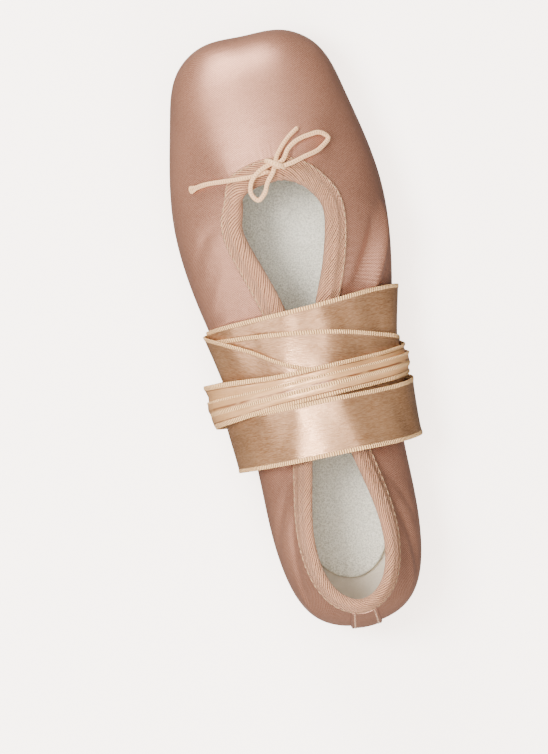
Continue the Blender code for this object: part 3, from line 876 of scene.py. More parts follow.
def peach_satin():
    """Satin: a diagonal float weave, soft broad lights, and colour that goes deeper in patches."""
    sheen = {"Sheen_Weight": 0.05, "Sheen_Roughness": 0.4, "Sheen_Tint": (1.0, 0.66, 0.55, 1)}
    finish = Finish("peach_satin", Specular_IOR_Level=0.7, **sheen)
    here = finish.place()
    x, y, z = finish.parts(here)
    facing = finish.parts(finish.node("ShaderNodeTexCoord", output="Normal"))
    from_side, from_end, from_top = [part.math("ABSOLUTE").math("POWER", 5.0) for part in facing]
    total = from_side + from_end + from_top

    def woven(a, b, pitch):
        """One set of threads, laid flat on the side, the end and the top of the shoe."""
        threads = (y * a + z * b).wave(pitch) * from_side + (x * a + z * b).wave(pitch) * from_end
        return (threads + (x * a + y * b).wave(pitch) * from_top) / total

    weave = woven(0.755, 0.656, 0.62)
    cross = woven(0.62, -0.78, 0.74)
    mottle = finish.noise(here, 26.0, 3.0)
    grain = finish.noise(here, 0.5, 3.0, 0.6)
    colour = finish.blend(mottle.between(0.3, 0.72), (0.33, 0.130, 0.074), (0.25, 0.092, 0.050))
    thread = (weave * 0.55 + weave * cross * 0.3 + (grain - 0.5) * 2.0 + 0.25).between(-0.5, 1.1)
    colour = finish.blend(thread * 0.8, colour, (0.64, 0.335, 0.228))
    stretched = finish.node("ShaderNodeMapping", None, {"Vector": here, "Scale": (0.35, 1.0, 1.0)})
    ripple = finish.noise(stretched, 5.0, 2.0)
    crinkle = finish.noise(stretched, 1.5, 3.0, 0.6)
    normal = finish.bump(weave * 0.5 + cross * 0.25 + grain, 0.05, 0.7)
    normal = finish.bump(crinkle, 0.14, 0.5, normal)
    normal = finish.bump(ripple, 0.5, 0.35, normal)
    return finish.wear(
        Base_Color=colour,
        Metallic=0.54 + mottle * 0.1,
        Roughness=0.30 + grain * 0.12,
        Normal=normal,
    )


def drill_lining():
    """Undyed cotton drill, pasted to the satin."""
    finish = Finish("drill_lining", Roughness=0.9, Sheen_Weight=0.2)
    here = finish.place()
    x, y, z = finish.parts(here)
    rib = (x * 0.7 + y + z * 0.9).wave(0.8)
    slub = finish.noise(here, 1.4, 4.0, 0.65)
    stain = finish.noise(here, 18.0, 3.0)
    colour = finish.blend(slub, (0.74, 0.66, 0.54), (0.60, 0.51, 0.40))
    colour = finish.blend(stain.between(0.5, 0.8) * 0.3, colour, (0.52, 0.42, 0.31))
    return finish.wear(Base_Color=colour, Normal=finish.bump(rib * 0.5 + slub, 0.12, 0.7))


satin = peach_satin()
fit(build_upper(), [satin, drill_lining()], ["upper"])

# ---------------------------------------------------------------- insole
# A board covered in pale grey-green felted cloth, laid in on the upper's turned-in edge. Its rim is
# rounded over and its middle is a little dished.

INSOLE_THICKNESS = 3.4
INSOLE_RIM = 0.8
INSOLE_MARGIN = 4.0  # how far past the sole opening it reaches
INSOLE_CLEARANCE = 0.9


def insole_outline(inset=0.0):
    """The insole's outline, or a line this far inside it. Their points match one for one."""
    rib = rib_at(np.linspace(0.0, 0.5, 120))
    way = unit(np.stack([rib.side_x - rib.sole_x, rib.side_s - rib.sole_s], -1))
    return both_sides(np.stack([rib.sole_x, rib.sole_s], -1) + (INSOLE_MARGIN - inset) * way)


def insole_height(x, place, z):
    """Its underside follows the last; the top is dished and pressed a little uneven."""
    under = above_sole(place) + wall_at(place) + INSOLE_CLEARANCE
    top = z > INSOLE_THICKNESS * 0.6
    press = 0.25 * np.sin(place * 0.11 + x * 0.07) + 0.12 * np.sin(place * 0.31 - x * 0.2)
    return under + top * (press - 0.35 + 0.5 * (np.abs(x) / 26) ** 2)


INSOLE_STEPS = (1.6, 4.0)

insole = cut_plate("insole_felt", insole_outline(), INSOLE_THICKNESS)
pick(insole, "faces", lambda f: f.normal.z > 0.9)
step_in(insole, insole_outline, [(inset, INSOLE_THICKNESS) for inset in INSOLE_STEPS])
round_rims(insole, INSOLE_RIM, lambda f: f.normal.z > 0.8)
inner_places = insole_outline(INSOLE_STEPS[-1])[:, 1]
cut_rows((0, 1, 0), inner_places.min(), inner_places.max(), 2.5)
cut_rows((1, 0, 0), -22, 22, 3.5)
curve_plate(insole, insole_height, 50)


def grey_felt():
    """Short matted fibres: soft, speckled and without any gloss."""
    finish = Finish("grey_felt", Roughness=0.95, Sheen_Weight=0.1, Sheen_Roughness=0.6)
    here = finish.place()
    fibre = finish.noise(here, 0.62, 5.0, 0.72)
    cloud = finish.noise(here, 9.0, 3.0)
    colour = finish.blend(fibre.between(0.38, 0.62), (0.58, 0.545, 0.44), (0.99, 0.95, 0.82))
    colour = finish.blend(cloud * 0.25, colour, (0.75, 0.76, 0.66))
    return finish.wear(Base_Color=colour, Normal=finish.bump(fibre, 0.4, 1.0))


fit(insole, [grey_felt()], ["insole"])

# ---------------------------------------------------------------- collar binding
# Twill tape, folded over the collar's raw edge as the drawstring's casing and sewn down along its
# outer edge. The drawstring inside swells it and gathers it, most of all round the front of the throat.

BINDING_ROUND = 640
TAPE_THICKNESS = 0.7
TAPE_OUTER_LEG = 7.4
TAPE_CROWN = 0.5
DRAWSTRING_AT = 2.3  # how far below the collar's edge the cord inside lies
DRAWSTRING_SPREAD = 1.5
DRAWSTRING_SWELL = 0.85
SEWN_FLAT = 0.3
FOLD_POINTS = 9
GATHER_PITCHES = (4.3, 2.7)
GATHER_DRIFTS = (29.0, 17.0)  # how soon each pitch opens and closes again
GATHER_DEPTH = 0.07
DRAWN_DEPTH = 0.17  # how much deeper the gathers are at the front of the throat
DRAWN_REACH = 0.075  # how far round they are so, as a part of the collar
RIB_PITCH = 0.85
RIB_SLANT = 0.56  # the ribs' rise across the tape, for each millimetre along it
RIB_REPEAT = 5 * RIB_PITCH / RIB_SLANT
OUTER_STEPS = [TAPE_OUTER_LEG, 7.25, 6.9, 6.3, 5.6, 4.9, 4.2, 3.5, 2.8, 2.1, 1.4, 0.8, 0.3]
INNER_STEPS = [0.4, 1.4, 2.8, 4.2, 5.4, 6.0]


def below_collar(u, distances):
    """The v on each rib that lies these many millimetres below the collar's edge."""
    v = np.linspace(1, 0.5, 80)
    table = []
    for one in u:
        run = run_along(on_upper(np.full_like(v, one), v))
        table.append(np.interp(distances, run, v))
    return np.array(table)


def gathers(along, down, front):
    """Soft folds across the tape, deepest at the drawn edge and round the front of the throat."""
    turns = along * 2 * np.pi
    (wide, narrow), (slow, fast) = GATHER_PITCHES, GATHER_DRIFTS
    beat = np.sin(turns / wide + 2.1 * np.sin(turns / slow))
    beat += 0.6 * np.sin(turns / narrow + 1.3 * np.sin(turns / fast) + down * 0.5)
    depth = GATHER_DEPTH + DRAWN_DEPTH * front
    return depth * beat * (0.25 + 0.75 * np.exp(-np.abs(down) / 4.5))


def build_binding():
    """The tape's section, drawn at each place round the collar: its outer face, the fold over the
    collar's edge, the inner leg, and back along the side that lies on the satin."""
    u = np.arange(BINDING_ROUND) / BINDING_ROUND
    edge, normal = upper_point(u, 1.0), normal_of(u, 1.0)
    wall = wall_at(edge[:, 1])
    up = unit(edge - upper_point(u, 0.99))
    along = run_along(closed(edge))
    front = bell(signed(u), DRAWN_REACH)
    near, far = LOOSE_GAP, LOOSE_GAP + TAPE_THICKNESS
    columns = []

    def on_wall(steps, out):
        """Lays columns of the tape against the wall, one for each step."""
        v = below_collar(u, steps)
        columns.extend(upper_point(u, v[:, k], out) for k in range(len(steps)))

    v = below_collar(u, OUTER_STEPS)
    for k, down in enumerate(OUTER_STEPS):
        cord_inside = DRAWSTRING_SWELL * bell(down - DRAWSTRING_AT, DRAWSTRING_SPREAD)
        sewn_flat = SEWN_FLAT * smoothstep(down, 7.0, TAPE_OUTER_LEG)
        out = far + gathers(along[:-1], down, front) + cord_inside - sewn_flat
        columns.append(upper_point(u, v[:, k], out))
    drawn = gathers(along[:-1], 0, front)
    for turn in np.linspace(0, np.pi, FOLD_POINTS):
        out = -wall / 2 + (wall / 2 + far) * np.cos(turn) + (drawn + 0.12) * np.cos(turn / 2)
        rise = (far + TAPE_CROWN + 0.6 * drawn) * np.sin(turn)
        columns.append(edge + normal * out[:, None] + up * rise[:, None])
    top_of_fold = len(OUTER_STEPS) + FOLD_POINTS // 2
    on_wall(INNER_STEPS, -wall - far)
    on_wall(INNER_STEPS[::-1], -wall - near)
    for out in (-wall - near, np.full_like(wall, near)):
        columns.append(edge + normal * out[:, None] + up * near)
    on_wall(OUTER_STEPS[::-1], near)
    grid = np.stack(columns, axis=1)
    section = np.concatenate([grid, grid[:, :1]], axis=1)
    steps = np.linalg.norm(np.diff(section, axis=1), axis=2).mean(axis=0)
    across = np.concatenate([[0], np.cumsum(steps)])
    across = across[top_of_fold] - across
    along *= round(along[-1] / RIB_REPEAT) * RIB_REPEAT / along[-1]
    return quad_skin("collar_binding_tape", grid, laid_out(along, across), loop=True)


def twill_tape():
    """Cotton twill: plump slanted ribs, with a shadow between each two."""
    finish = Finish("twill_tape", Roughness=0.8, Sheen_Weight=0.06, Sheen_Roughness=0.45)
    along, across = finish.on_cloth()
    here = finish.place()
    wander = (finish.noise(here, 9.0, 2.0) - 0.5) * 0.8
    slanted = along * RIB_SLANT - across * 0.83 + wander
    rib = slanted.wave(RIB_PITCH)
    fold = slanted.wave(RIB_PITCH * 2.5) * finish.noise(here, 14.0, 2.0).between(0.4, 0.6)
    yarn = (along * 0.83 + across * 0.56).wave(0.6)
    fuzz = finish.noise(here, 0.45, 3.0, 0.65)
    tone = finish.noise(here, 12.0, 3.0)
    shade = (rib * 0.85 + fold * 0.3).between(-0.9, 0.6)
    colour = finish.blend(shade, (0.16, 0.060, 0.024), (0.64, 0.31, 0.165))
    colour = finish.blend(tone.between(0.35, 0.75) * 0.4, colour, (0.52, 0.22, 0.12))
    colour = finish.blend(fuzz.between(0.45, 0.7) * 0.35, colour, (0.80, 0.44, 0.25))
    return finish.wear(
        Base_Color=colour,
        Normal=finish.bump(rib * 1.3 + fold * 1.1 + yarn * 0.3 + fuzz * 0.8, 0.2, 1.0),
    )


fit(build_binding(), [twill_tape()], ["collar_binding"])

EDGE_STITCH_PITCH = 2.9
EDGE_STITCH_INSET = 0.9
EDGE_PLACES = 2000  # how finely the way round is looked up


def edge_stitches():
    """Places round the tape, just inside its outer edge."""
    u = np.arange(EDGE_PLACES) / EDGE_PLACES
    v = below_collar(u, [TAPE_OUTER_LEG - EDGE_STITCH_INSET])[:, 0]
    line = upper_point(u, v, LOOSE_GAP + TAPE_THICKNESS + 0.06)
    away = normal_of(u, v)
    run = run_along(closed(line))
    count = round(run[-1] / EDGE_STITCH_PITCH)
    places = []
    for i in range(count):
        k = int(np.searchsorted(run[:-1], run[-1] * i / count)) % len(line)
        along = line[(k + 4) % len(line)] - line[k - 4]
        places.append((to_frame(*line[k]), along, away[k]))
    return places


binding_thread = sew(model_stitch("stitch", 2.3, 0.42, 0.34), "collar_binding_thread", edge_stitches())
fit(binding_thread, [sewing_thread("binding_thread", (0.52, 0.33, 0.16))])

# ---------------------------------------------------------------- heel strip
# A strip of the same satin over the back seam, piped down both sides and stitched inside the piping.
# It runs from under the binding to the outsole.

STRIP_THICKNESS = 0.6
STRIP_WIDTHS = (10.0, 14.0)  # at its foot and at its top
STRIP_LENGTH = 60.0  # roughly, for its cloth
STRIP_GAP = 0.3
STRIP_CROWN = 0.18
PIPING = 0.5
PIPING_AT = 5.35  # how far from the strip's middle
PIPING_WIDTH = 0.42
SEWN_DIP = 0.18
SEWN_AT = 4.3
SEWN_WIDTH = 0.35
STRIP_STITCHES = 44
ZIGZAG = (0.745, 0.70)  # how far out the stitches lie in turn, as parts of the strip's half


def strip_ends():
    """The v at the strip's foot and at its top."""
    top = below_collar(np.array([0.5]), [TAPE_OUTER_LEG + 0.6])[0, 0]
    sole_end = SOLE_ROWS[-1].place + SOLE_ROWS[-1].half_width + 0.6
    foot = next(v for v in np.linspace(0, 0.5, 200) if on_upper(0.5, v)[1] > sole_end)
    return foot, top


def strip_u(t, w):
    """u across the strip: t runs up it from 0 to 1, and w across it from -1 to 1."""
    per_mm = 0.01 / np.linalg.norm(on_upper(0.505, 0.5) - on_upper(0.495, 0.5))
    return 0.5 + w * (STRIP_WIDTHS[0] + (STRIP_WIDTHS[1] - STRIP_WIDTHS[0]) * t) / 2 * per_mm


def build_strip():
    """The strip's section, with its piping, its sewn dips and its crown, drawn up the heel."""
    foot, top = strip_ends()
    half = sum(STRIP_WIDTHS) / 4
    t = np.linspace(0, 1, 90)
    w = np.sin(np.linspace(-1, 1, 41) * np.pi / 2)
    tt, ww = np.meshgrid(t, w, indexing="ij")
    from_middle = np.abs(ww * half)
    section = PIPING * bell(from_middle - PIPING_AT, PIPING_WIDTH)
    section -= SEWN_DIP * bell(from_middle - SEWN_AT, SEWN_WIDTH)
    section += STRIP_THICKNESS + STRIP_CROWN * (1 - ww**2)
    round_off = np.sqrt(np.clip(1 - ww**8, 0, 1))
    out = STRIP_GAP + section * round_off
    vv = foot + (top - foot) * tt
    outside = upper_point(strip_u(tt, ww), vv, out)
    inside = upper_point(strip_u(tt, ww), vv, STRIP_GAP - 0.15)[:, ::-1][:, 1:-1]
    grid = np.concatenate([outside, inside], axis=1)
    across = closed(np.concatenate([w, w[::-1][1:-1]])) * half
    return quad_skin("heel_strip_satin", grid, laid_out(t * STRIP_LENGTH, across))


fit(build_strip(), [satin], ["heel_strip"])


def strip_stitches():
    """Places up both sides of the strip, in a narrow zigzag beside the piping."""
    foot, top = strip_ends()
    places = []
    for side in (-1, 1):
        for k, t in enumerate(np.linspace(0.02, 0.97, STRIP_STITCHES)):
            w = side * ZIGZAG[k % 2]
            v = foot + (top - foot) * t
            point = upper_point(strip_u(t, w), v, STRIP_GAP + STRIP_THICKNESS + 0.12)
            ahead = upper_point(strip_u(t + 0.01, w + side * 0.02), v + (top - foot) * 0.01)
            along = ahead - upper_point(strip_u(t, w), v)
            places.append((to_frame(*point), along, normal_of(strip_u(t, w), v)))
    return places


strip_thread = sew(model_stitch("stitch", 1.25, 0.42, 0.34), "heel_strip_thread", strip_stitches())
fit(strip_thread, [sewing_thread("strip_thread", (0.54, 0.32, 0.19))])

# ---------------------------------------------------------------- drawstring bow
# Thin braided cotton cord that comes out of the casing at the front of the throat. It is tied in a
# small bow, with one short end over the vamp and one long end that lies across to the side.

CORD_THICKNESS = 1.8
CORD_STEP = 0.35
BRAID_ROUND = 10.0  # what the cloth's map counts once round the cord: two yarns of each set
LONG_END = [
    (0.3, 55.0, 57.0),
    (1.5, 54.6, 57.9),
    (7.0, 55.2, 57.6),
    (12.0, 55.0, 56.6),
    (18.0, 54.6, 53.4),
    (25.5, 54.1, 48.0),
    (32.2, 54.9, 41.8),
]
SIDE_LOOP = [
    (-1.8, 52.6, 58.0),
    (-5.2, 51.3, 57.7),
    (-8.0, 47.6, 56.6),
    (-12.0, 45.0, 55.1),
    (-17.0, 43.8, 53.1),
    (-21.6, 43.8, 50.7),
    (-24.0, 46.0, 49.0),
    (-20.6, 49.4, 51.7),
    (-13.0, 51.8, 56.1),
    (-5.4, 53.5, 58.1),
    (-1.6, 53.4, 58.4),
]
BACK_LOOP = [
    (-1.8, 51.6, 58.3),
    (1.6, 52.5, 58.9),
    (5.2, 54.2, 59.9),
    (8.4, 57.6, 59.1),
    (9.2, 61.4, 58.2),
    (7.0, 64.4, 57.8),
    (4.2, 62.4, 58.4),
    (2.2, 58.6, 59.2),
    (-0.6, 55.1, 59.1),
    (-2.0, 52.4, 58.2),
    (-3.2, 49.6, 56.7),
    (-5.4, 46.7, 55.1),
    (-9.0, 43.2, 53.3),
    (-13.6, 40.0, 51.3),
]
KNOT_WRAP = [
    (1.5, 50.2, 56.6),
    (0.6, 50.6, 58.6),
    (-0.6, 51.3, 60.0),
    (-2.1, 52.2, 60.5),
    (-3.6, 53.1, 60.0),
    (-4.9, 53.9, 58.4),
    (-5.4, 54.4, 56.4),
]


def smooth_line(route, step):
    """A smooth line through a route's points, in even steps."""
    route = np.array(route)
    run = run_along(route)
    at = np.linspace(0, run[-1], max(8, round(run[-1] / step)))
    return np.stack([hermite(at, run, route[:, k]) for k in range(3)], axis=-1)


def even(share):
    """The cord's own thickness, all along it."""
    return 1


def cord_tube(name, route, width=even, height=even, sides=14):
    """A soft cord down a route. Width and height scale its thickness along it."""
    line = smooth_line(route, CORD_STEP)
    share = np.linspace(0, 1, len(line))
    along = unit(np.gradient(line, axis=0))
    up = np.tile([0.0, 0.0, 1.0], (len(line), 1))
    for _ in range(2):
        side = unit(np.cross(along, up))
        up = np.cross(side, along)
    from_end = np.clip(np.minimum(share, 1 - share) * len(line) / 3, 0, 1)
    round_end = np.sqrt(np.clip(1 - (1 - from_end) ** 2, 0.15, 1))
    wide = CORD_THICKNESS / 2 * round_end * width(share)
    tall = CORD_THICKNESS / 2 * round_end * height(share)
    turns = np.arange(sides) / sides * 2 * np.pi
    rings = (
        line[:, None]
        + side[:, None] * (np.cos(turns)[None, :, None] * wide[:, None, None])
        + up[:, None] * (np.sin(turns)[None, :, None] * tall[:, None, None])
    )
    cloth = laid_out(run_along(line), np.arange(sides + 1) / sides * BRAID_ROUND)
    return quad_skin(name, rings, cloth), to_frame(*line.T)


def braided_cotton():
    """A fine round braid: two sets of yarns that cross, with painted shade in the grooves between them.
    """
    finish = Finish("braided_cotton", Roughness=0.8, Sheen_Weight=0.06)
    along, around = finish.on_cloth()
    one, other = (along + around * 0.2).wave(1.0), (along - around * 0.2).wave(1.0)
    braid = one.math("MAXIMUM", other)
    fuzz = finish.noise(finish.place(), 0.5, 3.0, 0.6)
    # Painted shade: the colour darkens where neither yarn is high, in the grooves between them.
    colour = finish.blend(braid.between(-0.6, 0.9), (0.50, 0.24, 0.10), (0.82, 0.48, 0.24))
    colour = finish.blend(fuzz.between(0.4, 0.7) * 0.35, colour, (0.94, 0.64, 0.39))
    return finish.wear(Base_Color=colour, Normal=finish.bump(braid * 0.6 + fuzz, 0.12, 1.0))


cotton = braided_cotton()


def flat_end(share):
    """The cut end is pressed flat and splays a little."""
    return 1 + 0.75 * smoothstep(share, 0.86, 0.99)


def thin_end(share):
    """How thin it is pressed there."""
    return 1 - 0.45 * smoothstep(share, 0.84, 0.98)


Cord = namedtuple("Cord", "name route nodes start far_end width height", defaults=(even, even))
casing, knot = to_frame(*LONG_END[0]).tolist(), to_frame(*SIDE_LOOP[0]).tolist()
for part in (
    Cord("bow_long_end", LONG_END, ["drawstring_end_long"], casing, "bare", flat_end, thin_end),
    Cord("bow_side_loop", SIDE_LOOP, ["drawstring_loop_side"], knot, "knot"),
    Cord("bow_back_loop", BACK_LOOP, ["drawstring_loop_back", "drawstring_end_short"], knot, "bare"),
):
    cord, line = cord_tube(part.name, part.route, part.width, part.height)
    fit(cord, [cotton], part.nodes)

knot_wrap, _ = cord_tube("bow_knot", KNOT_WRAP, lambda share: 1.15, lambda share: 0.85)
fit(knot_wrap, [cotton], ["drawstring_knot"])

# ---------------------------------------------------------------- ribbons
# Two lengths of double-faced satin ribbon with ribbed selvedges, wound round the waist in turn. The
# second is bunched lengthwise for one turn, with a loose bight at the side, then lies flat again.

RIBBON_WIDTH = 22.0
RIBBON_THICKNESS = 0.4
GATHERED_WIDTH = 12.0
GATHERED_THICKNESS = 2.2
CLOTH_THICKNESS = 0.28
PRESSED_BELOW = 4.0
LOWEST_TURN = -1.7
GROUND_CLEARANCE = 0.4
SELVEDGE_BEAD = 0.2
FOLDED_EDGES = (2.9, 6.6)  # where across the bunched ribbon a lower layer's edge shows through
FOLDED_EDGE_WIDTH = 0.55
TURN_STEP = 7.5
FINE_STEP = 1.25
WRAP_MIDDLE = 24.0  # the height of the line that the turns go round
WRAP_RADIUS = 33.0  # roughly
WRAP_CLEARANCE = 0.8
WRAP_PLACES = np.arange(98.0, 184.0, 4.0)
WRAP_NORMALS = np.radians(np.arange(0, 360, 3.0))
CLIMB_REACH = 30
EVENED = np.hanning(13)[1:-1] / np.hanning(13).sum()  # the shares of a soft running mean
TAIL_ROWS_LOST = 4
BIGHT_FAN = 0.35  # how much wider the bunched folds spread in the loose bight
TAIL_SIDE = 1.3  # how far to its side of the middle each tail hangs

Turn = namedtuple("Turn", "angle place gather slack", defaults=(0, 0))
INNER_TURNS = [
    Turn(90, 143),
    Turn(180, 136),
    Turn(270, 125.5),
    Turn(360, 120),
    Turn(450, 118.5),
    Turn(540, 117),
    Turn(630, 125.5),
    Turn(720, 124),
    Turn(810, 127.5),
    Turn(900, 137),
    Turn(990, 149.5),
    Turn(1080, 152),
    Turn(1145, 152),
]
OUTER_TURNS = [
    Turn(90, 153),
    Turn(0, 152),
    Turn(-90, 149.5),
    Turn(-180, 149),
    Turn(-270, 142),
    Turn(-360, 122),
    Turn(-450, 125.5),
    Turn(-540, 135, 1),
    Turn(-630, 137, 0.9),
    Turn(-720, 138, 0.7, 6),
    Turn(-810, 141),
    Turn(-900, 153.5),
    Turn(-990, 154.5),
    Turn(-1080, 154),
    Turn(-1112, 154),
]

# The cloth's ripples: how high they are, how many go round, how they lean across it and where they
# start.
Ripple = namedtuple("Ripple", "height beats lean start")
RIPPLES = [Ripple(0.26, 7, 0.10, 0.0), Ripple(0.15, 13, -0.16, 1.3)]

# How wide and how deep each row of the tucked tail lies, against the first row of the turns.
Tuck = namedtuple("Tuck", "wide deep")
TUCKS = [
    Tuck(1.00, 11.0),
    Tuck(1.00, 9.0),
    Tuck(1.00, 7.0),
    Tuck(1.00, 5.2),
    Tuck(1.00, 3.6),
    Tuck(1.02, 2.4),
    Tuck(1.15, 1.5),
    Tuck(1.50, 0.75),
    Tuck(2.10, 0.28),
]

# The bunched ribbon's folds: how far across, and how far out, each share of its width lies.
Fold = namedtuple("Fold", "share across out")
FOLDS = [
    Fold(0.00, -6.0, 0.30),
    Fold(0.18, -2.2, 0.25),
    Fold(0.34, 1.5, 0.35),
    Fold(0.40, 2.4, 0.72),
    Fold(0.46, 1.4, 1.08),
    Fold(0.56, -1.5, 1.18),
    Fold(0.62, -2.5, 1.48),
    Fold(0.68, -1.5, 1.80),
    Fold(0.80, 1.5, 1.85),
    Fold(0.90, 3.7, 1.60),
    Fold(1.00, 5.9, 1.10),
]


def girth_table():
    """At each place, how far the shoe reaches from its middle line along each normal: the convex
    outline that a taut ribbon follows."""
    u, v = np.meshgrid(np.linspace(0.12, 0.46, 60), np.linspace(0, 1, 40), indexing="ij")
    tape = (LOOSE_GAP + TAPE_THICKNESS) * (v > 0.78)
    points = upper_point(u, v, tape)
    soles = hermite(WRAP_PLACES, [r.place for r in SOLE_ROWS], [r.half_width for r in SOLE_ROWS])
    table = []
    for place, half in zip(WRAP_PLACES, soles):
        x = [np.interp(place, points[:, k, 1], points[:, k, 0]) for k in range(v.shape[1])]
        z = [np.interp(place, points[:, k, 1], points[:, k, 2]) for k in range(v.shape[1])]
        outline = np.array([*zip(x, z), (half, sole_lift(place))])
        outline = np.concatenate([outline, outline * [-1, 1]]) - [0, WRAP_MIDDLE]
        ways = np.stack([np.cos(WRAP_NORMALS), np.sin(WRAP_NORMALS)])
        table.append((outline @ ways).max(axis=0))
    return np.array(table)


def rounded(girth):
    """Soft turns don't lie flat from edge to edge: the flats swell and the corners go."""
    reach = len(EVENED) // 2
    turned = sum(share * np.roll(girth, k - reach, axis=1) for k, share in enumerate(EVENED))
    return np.maximum(turned, girth - 0.25) + 0.3


GIRTH = rounded(girth_table())


def wrap_radius(place, angle, out):
    """Distance from the middle line to a ribbon that stands out millimetres off the shoe."""
    place, angle, out = (np.ravel(x) for x in np.broadcast_arrays(place, angle, out))
    share = (place - WRAP_PLACES[0]) / (WRAP_PLACES[1] - WRAP_PLACES[0])
    i = np.clip(share.astype(int), 0, len(WRAP_PLACES) - 2)
    share = (share - i)[:, None]
    reach = GIRTH[i] * (1 - share) + GIRTH[i + 1] * share
    facing = np.cos(np.radians(angle)[:, None] - WRAP_NORMALS)
    return np.where(facing > 0.05, (reach + out[:, None]) / np.maximum(facing, 0.05), 1e9).min(axis=1)


def stations_of(turns, step):
    """(angle, place, gather, slack) every few degrees along a ribbon."""
    knots = np.arange(len(turns), dtype=float)
    angles = np.array([t.angle for t in turns], float)
    count = int(abs(angles[-1] - angles[0]) / step) + 1
    wanted = np.linspace(angles[0], angles[-1], count)
    order = np.sign(angles[-1] - angles[0])
    at = np.interp(wanted * order, angles * order, knots)
    place = hermite(at, knots, [t.place for t in turns])
    gather = smoothstep(np.interp(at, knots, [t.gather for t in turns]), 0, 1)
    slack = np.interp(at, knots, [t.slack for t in turns])
    slack = smoothstep(slack, 0, max(slack.max(), 1)) * slack.max()
    return np.stack([wanted, place, gather, slack], axis=-1)


def between(flat, bunched, gather):
    """A size of the ribbon, from what it is laid flat to what it is bunched up."""
    return flat + (bunched - flat) * gather


def lay(sections):
    """How far each station stands off the shoe, when the sections are wound in this order and each
    turn lies on every earlier turn that it crosses."""
    laid, lifts = [], []
    for stations in sections:
        raw = []
        for i, (angle, place, gather, _) in enumerate(stations):
            width = between(RIBBON_WIDTH, GATHERED_WIDTH, gather)
            under = [WRAP_CLEARANCE]
            own = [(a, p, g, r) for (a, p, g, _), r in zip(stations[:i], raw) if abs(a - angle) > 180]
            for a, p, g, lift in laid + own:
                apart = abs((a - angle + 180) % 360 - 180)
                other = between(RIBBON_WIDTH, GATHERED_WIDTH, g)
                if apart < CLIMB_REACH and abs(p - place) < (other + width) / 2 + 1:
                    thickness = between(RIBBON_THICKNESS, GATHERED_THICKNESS, g)
                    under.append(lift + thickness + LOOSE_GAP)
            raw.append(max(under))
        laid += [(*station[:3], lift) for station, lift in zip(stations, raw)]
        lifts.append(raw)
    return lifts


def eased(lifts):
    """Steps become slopes: the highest lift nearby, then an even mean."""
    near = 2
    padded = np.pad(lifts, 2 * near, mode="edge")
    highest = np.array([padded[i : i + 2 * near + 1].max() for i in range(len(padded) - 2 * near)])
    return np.array([highest[i : i + 2 * near + 1].mean() for i in range(len(lifts))])


def pressed(height):
    """Turns under the arch move up together, so that none goes below the outsole."""
    share = (height - LOWEST_TURN) / (PRESSED_BELOW - LOWEST_TURN)
    flat = GROUND_CLEARANCE + share * (PRESSED_BELOW - GROUND_CLEARANCE)
    return np.where(height > PRESSED_BELOW, height, flat)


def across_cloth():
    """Where the points across the cloth lie, from -1 at one selvedge to 1 at the other: close
    together at the selvedges and at the folded edges that show where it is bunched."""
    selvedge = np.array([0.84, 0.87, 0.9, 0.95, 0.985, 1])
    folded = np.add.outer(FOLDED_EDGES, np.linspace(-0.7, 0.7, 5)).ravel() / (RIBBON_WIDTH / 2)
    return np.sort(np.concatenate([-selvedge, np.linspace(-0.8, 0.8, 27), folded, selvedge]))


def cloth_grid(turns, lifts, side):
    """The middle of the cloth: rows along the ribbon, points across it, and how bunched each row is."""
    coarse = stations_of(turns, TURN_STEP)
    fine = stations_of(turns, FINE_STEP)
    order = np.sign(fine[-1, 0] - fine[0, 0])
    lift = np.interp(fine[:, 0] * order, coarse[:, 0] * order, lifts)[:, None]
    angle, place, gather, slack = (column[:, None] for column in fine.T)
    turned = np.radians(angle)
    w = across_cloth()
    shares = [f.share for f in FOLDS]
    fold_across = hermite((w + 1) / 2, shares, [f.across for f in FOLDS])
    fold_out = hermite((w + 1) / 2, shares, [f.out for f in FOLDS])
    fan = 1 + BIGHT_FAN * smoothstep(slack, 1, 7)
    at = place + (1 - gather) * w * RIBBON_WIDTH / 2 + gather * fold_across * fan
    ripple = sum(r.height * np.sin(r.beats * turned + r.lean * at + r.start) for r in RIPPLES)
    ripple += 0.06 * np.sin(29 * turned + 0.3 * at) * np.sin(4 * turned - 0.2 * at)
    arc = turned * WRAP_RADIUS
    pleated = 0.22 * np.sin(w * 19 + arc / 31) + 0.1 * np.sin(w * 31 - arc / 17)
    out = lift + slack + RIBBON_THICKNESS / 2 + gather * (fold_out - 0.1 + pleated) + ripple
    radius = wrap_radius(at, np.broadcast_to(angle, at.shape), out).reshape(at.shape)
    reach = len(EVENED) // 2
    padded = np.pad(radius, ((reach, reach), (0, 0)), mode="edge")
    radius = sum(share * padded[k : k + len(radius)] for k, share in enumerate(EVENED))
    height = pressed(WRAP_MIDDLE + radius * np.sin(turned))
    grid = np.stack([radius * np.cos(turned), at, height], axis=-1)
    tail = [[(side * TAIL_SIDE * tuck.wide, y, z - tuck.deep) for _, y, z in grid[0]] for tuck in TUCKS]
    bunched = np.concatenate([np.zeros(len(tail)), gather[TAIL_ROWS_LOST:, 0]])
    return np.concatenate([tail, grid[TAIL_ROWS_LOST:]]), w, bunched


